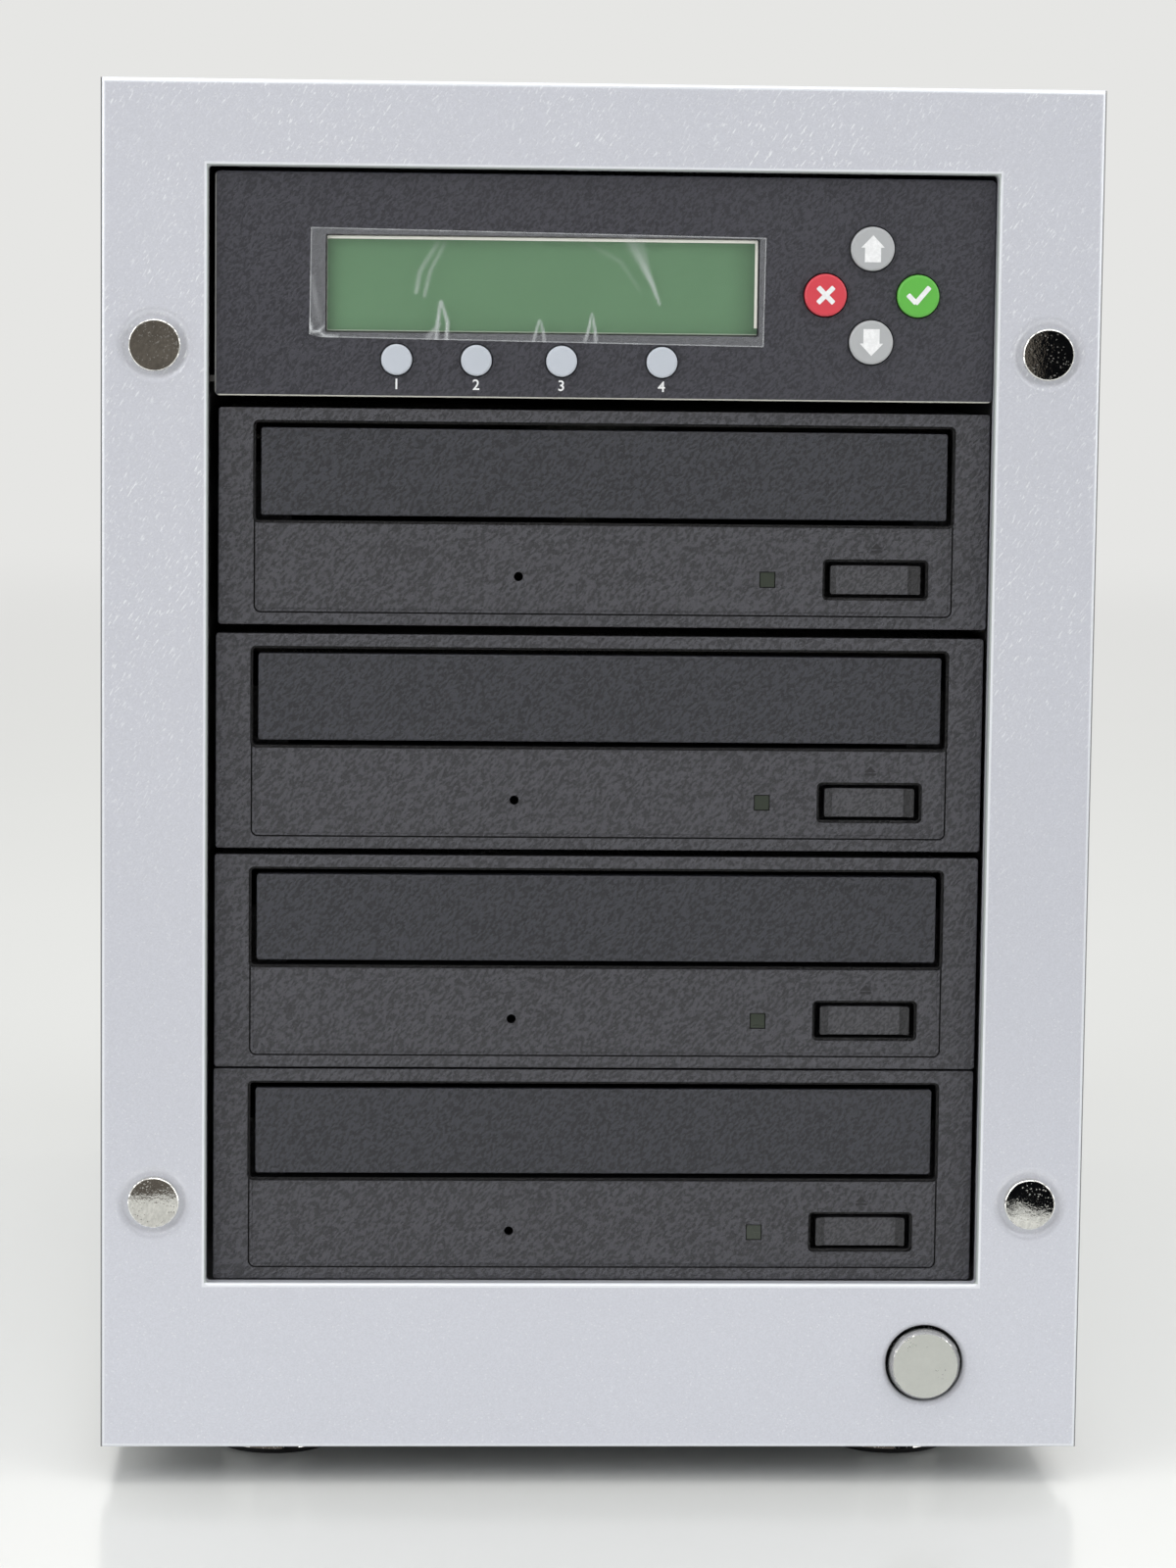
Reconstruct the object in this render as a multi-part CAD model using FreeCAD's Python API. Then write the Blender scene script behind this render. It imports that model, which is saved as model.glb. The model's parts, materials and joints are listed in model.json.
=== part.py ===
"""Disc duplicator tower: a folded steel case with four disc drives and a control panel.

All lengths are in millimetres. X runs to the right seen from the front, Y runs from
the front panel to the rear, Z runs up from the floor. Shapes are drawn with Y counted
from the front panel's face and are moved to the part's frame when they are written.
"""
import FreeCAD, Part
import math
import os

V = FreeCAD.Vector
X_AXIS, Y_AXIS, Z_AXIS = V(1, 0, 0), V(0, 1, 0), V(0, 0, 1)
TURN = 360

# Front panel
panel_side_border = 20.45
panel_header = 16.4
panel_bottom = 7.5
panel_sheet = 1.0
panel_return = 12.0
panel_fold_inside = 0.2
opening_side_gap = 0.65
opening_top_gap = 0.8
opening_sill = 32.7
opening_corner_radius = 0.7
lip_sheet = 1.2
lip_depth = 3.0
lip_radius = 0.8

# Panel bolts
bolt_side_gap = 10.15
bolt_sill_gap = 16.0
bolt_top_gap = 33.9
bolt_head_radius = 4.9
bolt_head_height = 2.0
bolt_head_bevel = 0.18
bolt_shank_radius = 2.0
bolt_shank_length = 7.0
bolt_clearance = 0.1
dimple_radius = 7.4
dimple_seat_radius = 5.6
dimple_depth = 1.0

# Chassis sheet work
sheet = 1.2
pan_clearance = 0.5
frame_return = 24.0
frame_clearance = 0.9
base_flange = 12.0
cable_room = 35.0
rear_flange = 10.0

# Cover
cover_sheet = 1.0
cover_clearance = 0.2
cover_gap = 0.5
cover_bend_radius = 1.6
cover_screw_rows = 3
cover_screw_margin = 30.0
vent_slot_width = 3.0
vent_slot_length = 36.0
vent_slot_pitch = 8.0
vent_slot_count = 9
vent_row_inset = 98.8
vent_row_height = 70.0

# Pan head screws, used all over the case
screw_head_radius = 2.9
screw_head_height = 2.0
screw_head_round = 0.8
screw_shank_radius = 1.5
screw_length = 6.0
screw_hole_radius = 1.6
screw_cross_width = 0.8
screw_cross_length = 3.2
screw_cross_depth = 0.9

# Drive cage
cage_tail = 5.4
cage_flange = 14.0
boss_radius = 4.5
boss_front_depth = 60.0
boss_pitch = 80.0
boss_height = 21.8
cage_top_margin = 2.0
shelf_lift = 2.5
shelf_front_depth = 8.0
spacer_height = 5.0
spacer_radius = 3.0
spacer_inset = 8.0

# Feet
foot_side_inset = 31.7
foot_front_depth = 36.0
foot_rear_inset = 36.0
pad_radius = 11.4
pad_flange = 0.8
pad_fit = 0.05
pad_plug_height = 2.6
pad_relief_radius = 4.2
cup_radius = 11.0
cup_top_radius = 9.8
cup_wall = 1.4
cup_web = 2.0

# Drives
drive_count = 4
bezel_side_border = 6.6
bezel_header = 2.35
bezel_plate = 3.6
bezel_corner_radius = 0.6
bezel_edge_round = 0.3
bezel_setback = 3.0
drive_sill_gap = 0.2
drive_gaps = (0.35, 1.25, 1.75)
drive_shifts = (0.15, 0.25, 0.4, 0.8)
slot_side_gap = 1.05
slot_sill_gap = 1.05
slot_top_gap = 0.95
slot_floor = 19.45
slot_inner_radius = 0.6
ledge_depth = 0.8
ledge = 0.5
groove_side_inset = 0.15
groove_floor = 2.25
groove_line = 0.3
groove_depth = 0.5
groove_shelf = 0.95
groove_shelf_depth = 0.12
groove_inner_radius = 0.45
pinhole_x = -16.5
pinhole_z = 9.6
pinhole_radius = 0.9
lamp_inset = 35.95
lamp_z = 9.4
lamp_size = 2.8
lamp_clearance = 0.15
lamp_setback = 0.2
eject_inset = 15.05
eject_z = 9.5
eject_side_gap = 1.05
eject_top_gap = 0.725
eject_inner_radius = 0.5
eject_width = 17.4
eject_height = 5.5
eject_corner_radius = 0.35
eject_end_gap = 0.2
eject_dish_width = 13.9
eject_dish_end = 1.6
eject_dish_depth = 0.7
eject_travel = 0.8
eject_stem_width = 5.0
eject_stem_height = 3.0
eject_stem_length = 8.0
case_side_inset = 1.05
case_height_inset = 0.3
case_tail = 12.0
case_sheet = 1.0
case_bend_radius = 1.0
plug_height = 10.0
plug_depth = 8.0
plug_z = 8.0
clamp_bridge_width = 34.0
clamp_bridge_z = 33.8
clamp_bridge_sheet = 1.0
clamp_hole_radius = 12.2
clamp_clearance = 0.3
clamp_disc_radius = 14.5
clamp_disc_height = 2.2
clamp_body_radius = 11.6
clamp_body_drop = 2.4

# Trays
tray_front_lap = 1.4
tray_front_height = 16.7
tray_front_depth = 4.0
tray_front_round = 0.3
tray_front_corner_radius = 0.5
tray_rim = 3.9
tray_hold = 17.0
tray_floor_lift = 0.65
tray_plate = 7.2
tray_corner_radius = 3.0
disc_radius = 60.0
disc_clearance = 0.6
disc_recess = 2.2
small_disc_radius = 40.0
small_disc_recess = 1.5
disc_centre_depth = 70.0
tray_slot_half = 17.0
tray_clear = 3.0

# Drive works
deck_clearance = 0.1
deck_floor = 1.4
rail_screw_depth = 3.5
rail_roof = 2.0
rail_start = 6.0
rail_lip = 2.2
rail_shelf = 4.6
runner_clearance = 0.3
cross_bar = 6.0
cross_bar_top = 19.4
motor_plate_sheet = 2.0
motor_plate_floor = 7.0
motor_plate_half = 15.0
bearing_radius = 4.0
bearing_height = 8.0
running_fit = 0.05
spindle_shaft_radius = 1.5
rotor_radius = 12.5
rotor_wall = 1.0
rotor_floor = 13.0
rotor_top = 22.4
turntable_radius = 14.5
turntable_top = 27.6
turntable_sheet = 2.2
hub_radius = 7.4
hub_top_radius = 6.4
hub_height = 2.2
guide_rod_x = 20.0
guide_rod_z = 14.5
guide_rod_radius = 1.5
sled_width = 48.0
sled_front = 8.0
sled_back = 14.0
sled_floor = 11.0
sled_height = 7.6
sled_round = 1.0
lens_start = 24.0
lens_travel = 34.0
sled_end_gap = 6.0
lens_radius = 3.5
lens_height = 4.6
lens_bore_radius = 2.2
lens_bore_depth = 1.0

# Control panel
control_side_lap = 0.45
control_header = 11.7
control_plate = 3.5
control_setback = 2.0
control_gap = 2.25
control_shift = 0.5
control_corner_radius = 1.0
control_edge_round = 0.5
window_x = -12.1
window_z = 21.5
window_width = 82.8
window_height = 18.6
window_corner_radius = 0.6
pad_key_gap = 1.3
pad_key_z = 20.3
pad_key_ring = 8.9
arrow_key_radius = 4.2
colour_key_radius = 4.05
hot_key_radius = 2.95
hot_key_z = 7.15
hot_key_columns = (-39.9, -24.7, -8.4, 10.8)
key_clearance = 0.25
key_proud = 1.1
key_round = 0.5
key_flange = 0.9
key_flange_sheet = 1.0
key_flange_gap = 0.05
key_stem_radius = 1.4
key_travel = 0.6
lug_width = 5.0
lug_inset = 4.0
lug_lap = 12.0
lug_height = 8.0
film_left_border = 2.95
film_right_border = 1.1
film_top_border = 0.75
film_bottom_border = 1.45
film_sheet = 0.25
film_lift = 0.05
display_side_border = 7.3
display_height_border = 0.8
display_frame_depth = 7.0
display_glass_setback = 1.3
display_glass_clearance = 0.3
key_board_margin = 1.45
key_board_drop = 5.5
key_board_sheet = 1.6
key_board_gap = 7.3
tact_size = 6.0
tact_height = 3.0
tact_button_radius = 1.75
tact_button_height = 1.0
tact_gap = 0.1
board_side_gap = 11.15
board_tail = 14.5
board_sheet = 1.6
board_front_depth = 24.0
chip_size = 24.0
chip_height = 2.0
chip_lead_gap = 9.0
chip_count = 3
header_depth = 7.0
header_height = 8.0
header_pitch = 20.0
header_first_depth = 66.0
panel_strip_x = 34.0
panel_strip_width = 26.0
panel_strip_depth = 40.0

# Power button
power_inset = 9.85
power_z = 16.8
power_hole_radius = 7.55
power_roll_radius = 1.0
power_button_radius = 7.1
power_face_radius = 6.35
power_proud = 2.0
power_length = 9.0
power_travel = 2.0
power_collar_depth = 1.8
housing_radius = 9.2
housing_length = 22.0
housing_flange_width = 19.0
housing_flange_height = 26.0
housing_flange_sheet = 2.0
housing_corner_radius = 1.0
housing_bore_clearance = 0.1
housing_stop_gap = 0.4
housing_hole_clearance = 0.4
terminal_width = 3.0
terminal_sheet = 0.8
terminal_length = 7.0

# Fans
fan_size = 80.0
fan_thickness = 25.4
fan_corner_radius = 4.0
fan_wall = 2.0
fan_hole_inset = 4.25
fan_flange = 3.5
fan_hub_radius = 17.0
fan_hub_gap = 1.0
fan_hub_plate = 3.0
fan_strut_width = 5.0
fan_blade_tip_gap = 0.9
fan_blade_count = 7
fan_blade_sheet = 1.4
fan_blade_chord = 24.0
fan_blade_pitch = 38
fan_shaft_radius = 1.5
fan_boss_radius = 4.0
fan_boss_length = 8.0
fan_front_gap = 2.0
grille_wire_radius = 0.8
grille_spoke_radius = 1.0
grille_ring_lift = 1.2
grille_rings = 5
grille_ring_inset = 1.2
grille_inner_radius = 8.0
grille_tab_radius = 4.0
grille_standoff = 0.8
grille_spokes = 4

# Power supply
supply_width = 150.0
supply_fan_margin = 3.0
supply_length = 140.0
supply_sheet = 1.0
supply_top_gap = 8.0
supply_fan_x = -22.0
supply_bolt_inset_x = 6.0
supply_bolt_inset_z = 6.0
supply_border = 3.0
supply_gusset = 8.0
supply_vent_width = 3.0
supply_vent_length = 50.0
supply_vent_pitch = 9.0
supply_vent_count = 9
supply_fit = 0.15
supply_vent_margin = 10.0
supply_lead_z = 26.0
case_fan_z = 92.0
inlet_x = 45.0
inlet_drop = 14.0
inlet_width = 31.0
inlet_height = 24.0
inlet_flange = 2.0
inlet_corner_radius = 2.5
inlet_body_width = 27.8
inlet_body_height = 20.0
inlet_body_depth = 20.0
inlet_cavity_width = 24.4
inlet_cavity_height = 16.6
inlet_cavity_depth = 16.0
inlet_chamfer = 5.0
inlet_pin_width = 2.0
inlet_pin_height = 4.0
inlet_pin_length = 14.0
inlet_pin_x = 7.0
inlet_pin_z = 2.0
switch_gap = 13.5
switch_width = 21.0
switch_height = 15.0
switch_flange = 1.6
switch_body_depth = 15.0
switch_wall = 2.2
rocker_gap = 0.35
rocker_crest = 1.6
rocker_heel = 4.0
rocker_pin_length = 1.5
rocker_pivot_radius = 1.2
rocker_pivot_depth = 3.2
rocker_tilt = 9
supply_board_side_gap = 7.0
supply_board_end_gap = 1.6
supply_board_sheet = 1.6
supply_board_lift = 6.0
supply_post_radius = 3.0
supply_post_inset = 8.0
supply_front_gap = 3.0
transformer_width = 38.0
transformer_length = 32.0
transformer_height = 36.0
capacitor_radius = 11.0
capacitor_height = 34.0
capacitor_gap = 3.0
heatsink_sheet = 3.0
heatsink_length = 70.0
heatsink_height = 48.0
heatsink_fin = 8.0
heatsink_fin_sheet = 1.2
heatsink_fin_pitch = 8.0

# Cables
ribbon_x = 22.0
ribbon_width = 54.0
ribbon_sheet = 1.2
ribbon_pitch = 3.2
ribbon_bend = 6.0
ribbon_rise = 12.0
ribbon_socket_height = 9.0
ribbon_socket_depth = 6.0
ribbon_first_gap = 10.0
lead_radius = 2.4
lead_bend = 10.0
lead_plug_width = 22.0
lead_plug_height = 8.0
lead_plug_depth = 12.0
lead_first_x = -55.5
lead_pitch = 5.0
lead_run_gap = 12.0
board_plug_width = 12.0
plug_power_x = -48.0

# One overrun serves all cuts
overrun = 1.0

# Drive and tray, worked out from the disc
tray_width = 2 * (disc_radius + disc_clearance + tray_rim)
tray_front_width = tray_width + 2 * tray_front_lap
slot_width = tray_front_width + 2 * (slot_side_gap + ledge)
slot_height = tray_front_height + slot_sill_gap + slot_top_gap + 2 * ledge
bezel_width = slot_width + 2 * bezel_side_border
bezel_height = slot_floor + slot_height + bezel_header
case_width = bezel_width - 2 * case_side_inset
case_height = bezel_height - 2 * case_height_inset
groove_width = slot_width - 2 * groove_side_inset
groove_corner_radius = groove_inner_radius + groove_shelf
lamp_x = slot_width / 2 - lamp_inset
eject_x = slot_width / 2 - eject_inset
slot_centre_z = slot_floor + slot_height / 2
eject_hole_width = eject_width + 2 * (eject_side_gap + ledge)
eject_hole_height = eject_height + 2 * (eject_top_gap + ledge)
eject_depth = rail_start - eject_travel - eject_end_gap
tray_front_floor = slot_floor + ledge + slot_sill_gap
tray_floor = tray_front_floor + tray_floor_lift
tray_top = tray_floor + tray_plate
tray_travel = disc_centre_depth + disc_radius + tray_clear
tray_length = tray_travel + tray_hold
rail_top = tray_top + rail_roof
rear_bar_depth = disc_centre_depth + lens_start + lens_travel + sled_back + sled_end_gap
rail_end = rear_bar_depth + cross_bar
case_length = rail_end + case_tail

# Control panel, worked out from the drives and the display
control_width = bezel_width + 2 * control_side_lap
control_height = window_z + window_height / 2 + control_header
film_width = window_width + film_left_border + film_right_border
film_height = window_height + film_top_border + film_bottom_border
film_x = window_x + (film_right_border - film_left_border) / 2
film_z = window_z + (film_top_border - film_bottom_border) / 2
display_frame_width = window_width + 2 * display_side_border
display_frame_height = window_height + 2 * display_height_border
display_end = window_x + display_frame_width / 2
pad_key_x = display_end + pad_key_gap + colour_key_radius + pad_key_ring
key_board_width = 2 * (pad_key_x + pad_key_ring + tact_size / 2 + key_board_margin)
key_board_height = control_height - key_board_drop

# Fans and power supply
fan_bore_radius = fan_size / 2 - fan_wall
fan_hole_spacing = fan_size - 2 * fan_hole_inset
grille_ring_pitch = (fan_bore_radius - grille_ring_inset - grille_inner_radius) / (grille_rings - 1)
supply_height = fan_size + 2 * supply_fan_margin
inlet_z = supply_height - inlet_drop - inlet_height / 2
switch_z = inlet_z - inlet_height / 2 - switch_gap - switch_height / 2

# Heights, counted from the floor
opening_floor = panel_bottom + opening_sill
drive_bottoms = [opening_floor + drive_sill_gap]
for drive_gap in drive_gaps:
    drive_bottoms.append(drive_bottoms[-1] + bezel_height + drive_gap)
control_bottom = drive_bottoms[-1] + bezel_height + control_gap
control_top = control_bottom + control_height
opening_roof = control_top + opening_top_gap
panel_top = opening_roof + panel_header
panel_height = panel_top - panel_bottom
opening_height = opening_roof - opening_floor
frame_floor = panel_bottom + panel_sheet + pan_clearance
frame_top = panel_top - panel_sheet - pan_clearance
base_top = frame_floor + sheet
shelf_floor = control_bottom + shelf_lift
shelf_top = shelf_floor + sheet
board_floor = shelf_top + spacer_height
board_top = board_floor + board_sheet
cage_top = control_top + cage_top_margin
power_place_z = panel_bottom + power_z
supply_bottom = frame_top - supply_top_gap - supply_height
supply_fan_z = supply_bottom + supply_height / 2

# Widths
opening_width = control_width + 2 * opening_side_gap
panel_width = opening_width + 2 * panel_side_border
frame_half = panel_width / 2 - panel_sheet - pan_clearance
cover_inner = frame_half + cover_clearance
cage_inner = opening_width / 2
foot_reach = frame_half - foot_side_inset
power_x = opening_width / 2 - power_inset
board_width = 2 * (cage_inner - board_side_gap)
supply_board_width = supply_width - 2 * supply_board_side_gap
bolt_reach = opening_width / 2 + bolt_side_gap
bolt_heights = (opening_floor + bolt_sill_gap, opening_roof - bolt_top_gap)
bolt_places = [(side * bolt_reach, height) for side in (-1, 1) for height in bolt_heights]

# Depths, counted from the front panel's face
case_setback = bezel_setback + bezel_plate
drive_rear = case_setback + case_length
frame_depth = dimple_depth + panel_sheet
cage_front = frame_depth + sheet
cage_depth = drive_rear + cage_tail
supply_front = drive_rear + cable_room
rear_inner = supply_front + supply_length
body_depth = rear_inner + sheet
supply_back_inner = rear_inner - supply_sheet
supply_board_front = supply_front + supply_sheet + supply_front_gap
supply_board_length = supply_back_inner - fan_thickness - supply_board_end_gap - supply_board_front
vent_row_depth = body_depth - vent_row_inset
last_header_depth = header_first_depth + (drive_count - 1) * header_pitch
board_length = last_header_depth + header_depth / 2 + board_tail - board_front_depth
control_back = control_setback + control_plate
key_board_front = control_back + key_board_gap
tact_front = key_board_front - tact_height - tact_button_height
key_stem_end = tact_front - key_travel - tact_gap
rear_proud = grille_standoff + 2 * grille_wire_radius + grille_ring_lift
front_face_y = (power_proud - body_depth - rear_proud) / 2

saved_nodes = {}


def box(x0, x1, y0, y1, z0, z1):
    """Return a block between two corners."""
    return Part.makeBox(x1 - x0, y1 - y0, z1 - z0, V(x0, y0, z0))


def rod(radius, start, end):
    """Return a round bar from one point to another."""
    line = end - start
    return Part.makeCylinder(radius, line.Length, start, line)


def rod_x(radius, y, z, x0, x1):
    """Return a round bar along X."""
    return rod(radius, V(x0, y, z), V(x1, y, z))


def rod_y(radius, x, z, y0, y1):
    """Return a round bar along Y."""
    return rod(radius, V(x, y0, z), V(x, y1, z))


def rod_z(radius, x, y, z0, z1):
    """Return a round bar along Z."""
    return rod(radius, V(x, y, z0), V(x, y, z1))


def slab(x, width, y0, y1, z, height):
    """Return a square-edged slab centred at x and z, between two depths."""
    return box(x - width / 2, x + width / 2, y0, y1, z - height / 2, z + height / 2)


def side_box(side, near, far, y0, y1, z0, z1):
    """Return a block on one side, between two distances from the middle plane."""
    x0, x1 = sorted((side * near, side * far))
    return box(x0, x1, y0, y1, z0, z1)


def fused(shapes):
    """Return one solid made of touching shapes."""
    joined = shapes[0]
    if len(shapes) > 1:
        joined = joined.fuse(shapes[1:])
    return joined.removeSplitter()


def rounded_outline(width, height, radius, centre_x, centre_z, y):
    """Return an upright rounded rectangle as a closed wire."""
    x0, x1 = centre_x - width / 2, centre_x + width / 2
    z0, z1 = centre_z - height / 2, centre_z + height / 2
    corners = [(x1, z0, -1, 1), (x1, z1, -1, -1), (x0, z1, 1, -1), (x0, z0, 1, 1)]
    arcs = []
    for index, (x, z, into_x, into_z) in enumerate(corners):
        sideways = V(x + into_x * radius, y, z)
        upright = V(x, y, z + into_z * radius)
        diagonal = radius * (1 - math.sqrt(1 / 2))
        middle = V(x + into_x * diagonal, y, z + into_z * diagonal)
        start, end = (sideways, upright) if index % 2 == 0 else (upright, sideways)
        arcs.append((start, middle, end))
    edges = []
    for (start, middle, end), following in zip(arcs, arcs[1:] + arcs[:1]):
        edges.append(Part.Arc(start, middle, end).toShape())
        edges.append(Part.makeLine(end, following[0]))
    return Part.Wire(edges)


def rounded_bar(width, height, radius, centre_x, centre_z, y0, y1):
    """Return a bar along Y with a rounded rectangular section."""
    outline = rounded_outline(width, height, radius, centre_x, centre_z, y0)
    return Part.Face(outline).extrude(V(0, y1 - y0, 0))


def edges_at_y(shape, y):
    """Return the edges of a shape that lie in the upright plane at a depth."""
    found = []
    for edge in shape.Edges:
        bounds = edge.BoundBox
        if max(abs(bounds.YMin - y), abs(bounds.YMax - y)) < overrun / 1000:
            found.append(edge)
    return found


def turned_y(points, x, z):
    """Return the solid of a profile of (radius, depth) points turned about a Y axis."""
    corners = [V(x + radius, depth, z) for radius, depth in points]
    outline = Part.makePolygon(corners + corners[:1])
    return Part.Face(outline).revolve(V(x, 0, z), Y_AXIS, TURN)


def turned_z(points, x, y):
    """Return the solid of a profile of (radius, height) points turned about a Z axis."""
    corners = [V(x + radius, y, height) for radius, height in points]
    outline = Part.makePolygon(corners + corners[:1])
    return Part.Face(outline).revolve(V(x, y, 0), Z_AXIS, TURN)


def save(node, shape):
    """Move a shape to the part's frame and write it as a node."""
    solids = shape.Solids
    moved = Part.makeCompound(solids) if len(solids) > 1 else solids[0].copy()
    moved.translate(V(0, front_face_y, 0))
    if not moved.isValid():
        print("not valid:", node)
    moved.exportStep("parts/" + node + ".step")
    saved_nodes[node] = moved


def front_panel():
    """Return the folded front panel with its rolled opening, dimples and button hole."""
    centre_z = panel_bottom + panel_height / 2
    outer = slab(0, panel_width, 0, panel_return, centre_z, panel_height)
    outer = outer.makeFillet(panel_fold_inside + panel_sheet, edges_at_y(outer, 0))
    inner = slab(0, panel_width - 2 * panel_sheet, panel_sheet, panel_return + overrun,
                 centre_z, panel_height - 2 * panel_sheet)
    inner = inner.makeFillet(panel_fold_inside, edges_at_y(inner, panel_sheet))
    pan = outer.cut(inner)

    mouth_z = opening_floor + opening_height / 2
    lip_width = opening_width + 2 * lip_sheet
    lip_height = opening_height + 2 * lip_sheet
    lip_corner = opening_corner_radius + lip_sheet
    lip_block = rounded_bar(lip_width, lip_height, lip_corner, 0, mouth_z, 0, lip_depth)
    mouth = rounded_bar(opening_width, opening_height, opening_corner_radius,
                        0, mouth_z, -overrun, lip_depth + overrun)
    lip = lip_block.cut(mouth)
    mouth_side, mouth_rise = opening_width + lip_sheet, opening_height + lip_sheet
    limit = slab(0, mouth_side, -overrun, overrun, mouth_z, mouth_rise).BoundBox
    rolled = [edge for edge in edges_at_y(lip, 0) if limit.isInside(edge.BoundBox)]
    lip = lip.makeFillet(lip_radius, rolled)

    collar_radius = power_hole_radius + lip_sheet
    collar = turned_y([(power_hole_radius, 0), (collar_radius, 0), (collar_radius, power_collar_depth),
                       (power_hole_radius, power_collar_depth)], power_x, power_place_z)
    rims = edges_at_y(collar, 0)
    inner_rim = [edge for edge in rims if edge.BoundBox.XLength < 2 * power_hole_radius + lip_sheet]
    collar = collar.makeFillet(power_roll_radius, inner_rim)

    cuts = [mouth, lip_block]
    cuts.append(rod_y(collar_radius, power_x, power_place_z, -overrun, panel_return))
    dishes = []
    hole = bolt_shank_radius + bolt_clearance
    for x, z in bolt_places:
        cuts.append(rod_y(dimple_radius, x, z, -overrun, panel_return))
        profile = [(hole, dimple_depth), (dimple_seat_radius, dimple_depth), (dimple_radius, 0),
                   (dimple_radius, panel_sheet), (dimple_seat_radius, panel_sheet + dimple_depth),
                   (hole, panel_sheet + dimple_depth)]
        dishes.append(turned_y(profile, x, z))
    pan = pan.cut(cuts)
    return fused([pan, lip, collar] + dishes)


def panel_bolts():
    """Return the four flat chrome bolts that hold the panel on the frame."""
    bolts = []
    back = dimple_depth + bolt_shank_length
    front = dimple_depth - bolt_head_height
    for x, z in bolt_places:
        profile = [(0, front), (bolt_head_radius - bolt_head_bevel, front),
                   (bolt_head_radius, front + bolt_head_bevel), (bolt_head_radius, dimple_depth),
                   (bolt_shank_radius, dimple_depth), (bolt_shank_radius, back), (0, back)]
        bolts.append(turned_y(profile, x, z))
    return Part.makeCompound(bolts)


def foot_places():
    """Return the plan position of each foot."""
    depths = (foot_front_depth, body_depth - foot_rear_inset)
    return [(side * foot_reach, depth) for side in (-1, 1) for depth in depths]


def chassis_base():
    """Return the base plate folded in one with the front frame."""
    frame_back = frame_depth + sheet
    pieces = [
        box(-frame_half, frame_half, frame_depth, rear_inner, frame_floor, base_top),
        box(-frame_half, frame_half, frame_depth, frame_back, frame_floor, frame_top),
        box(-frame_half, frame_half, frame_depth, frame_return, frame_top - sheet, frame_top),
    ]
    for side in (-1, 1):
        near = frame_half - sheet
        flange_top = frame_floor + base_flange
        pieces.append(side_box(side, near, frame_half, frame_depth, rear_inner, frame_floor, flange_top))
        pieces.append(side_box(side, near, frame_half, frame_depth, frame_return, frame_floor, frame_top))
    base = fused(pieces)
    mouth_z = opening_floor + opening_height / 2
    margin = 2 * (lip_sheet + frame_clearance)
    mouth_corner = opening_corner_radius + lip_sheet + frame_clearance
    cuts = [rounded_bar(opening_width + margin, opening_height + margin, mouth_corner, 0, mouth_z,
                        frame_depth - overrun, frame_back + overrun)]
    for x, z in bolt_places:
        cuts.append(rod_y(bolt_shank_radius + bolt_clearance, x, z, 0, frame_back + overrun))
    power_gap = power_hole_radius + housing_hole_clearance
    cuts.append(rod_y(power_gap, power_x, power_place_z, 0, frame_back + overrun))
    for x, y in foot_places():
        cuts.append(rod_z(screw_hole_radius, x, y, frame_floor - overrun, base_top + overrun))
    return base.cut(cuts)


def cover_screw_places():
    """Return the upright position of each cover screw on the rear face."""
    low = frame_floor + cover_screw_margin
    high = frame_top - cover_screw_margin
    step = (high - low) / (cover_screw_rows - 1)
    reach = cover_inner - rear_flange / 2
    return [(side * reach, low + row * step) for side in (-1, 1) for row in range(cover_screw_rows)]


def supply_screw_places():
    """Return the upright position of the power supply's four screws."""
    reach = supply_width / 2 - supply_bolt_inset_x
    low = supply_bottom + supply_bolt_inset_z
    high = supply_bottom + supply_height - supply_bolt_inset_z
    return [(side * reach, height) for side in (-1, 1) for height in (low, high)]


def fan_screw_places(x, z):
    """Return the four screw positions of a fan centred at a point."""
    half = fan_hole_spacing / 2
    return [(x + across * half, z + up * half) for across in (-1, 1) for up in (-1, 1)]


def rear_holes(y0, y1, places):
    """Return round cutters for screws along Y at upright positions."""
    return [rod_y(screw_hole_radius, x, z, y0, y1) for x, z in places]


def cover():
    """Return the cover: two sides and the top in one sheet, with a rear flange."""
    outer_half = cover_inner + cover_sheet
    inner_top = frame_top + cover_clearance
    outer_top = inner_top + cover_sheet
    start = panel_return + cover_gap
    end = body_depth + cover_sheet
    outer = box(-outer_half, outer_half, start, end, frame_floor, outer_top)
    outer = outer.makeFillet(cover_bend_radius, long_top_edges(outer, outer_top))
    inner = box(-cover_inner, cover_inner, start - overrun, body_depth, frame_floor - overrun, inner_top)
    inner = inner.makeFillet(cover_bend_radius - cover_sheet, long_top_edges(inner, inner_top))
    window_half = cover_inner - rear_flange
    window = box(-window_half, window_half, body_depth - overrun, end + overrun,
                 frame_floor - overrun, inner_top - rear_flange)
    cuts = [inner, window] + rear_holes(body_depth - overrun, end + overrun, cover_screw_places())
    for index in range(vent_slot_count):
        y = vent_row_depth + (index - (vent_slot_count - 1) / 2) * vent_slot_pitch
        cuts.append(upright_slot(y, outer_half))
    return outer.cut(cuts)


def long_top_edges(shape, top):
    """Return a block's two upper edges that run along Y."""
    found = []
    for edge in shape.Edges:
        bounds = edge.BoundBox
        if bounds.ZMin > top - overrun / 2 and bounds.XLength < overrun / 2:
            found.append(edge)
    return found


def upright_slot(y, reach):
    """Return a cutter through both sides for one upright vent slot."""
    half = vent_slot_width / 2
    low = vent_row_height + half
    high = vent_row_height + vent_slot_length - half
    far = reach + overrun
    ends = [rod_x(half, y, z, -far, far) for z in (low, high)]
    return fused([box(-far, far, y - half, y + half, low, high)] + ends)


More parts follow.
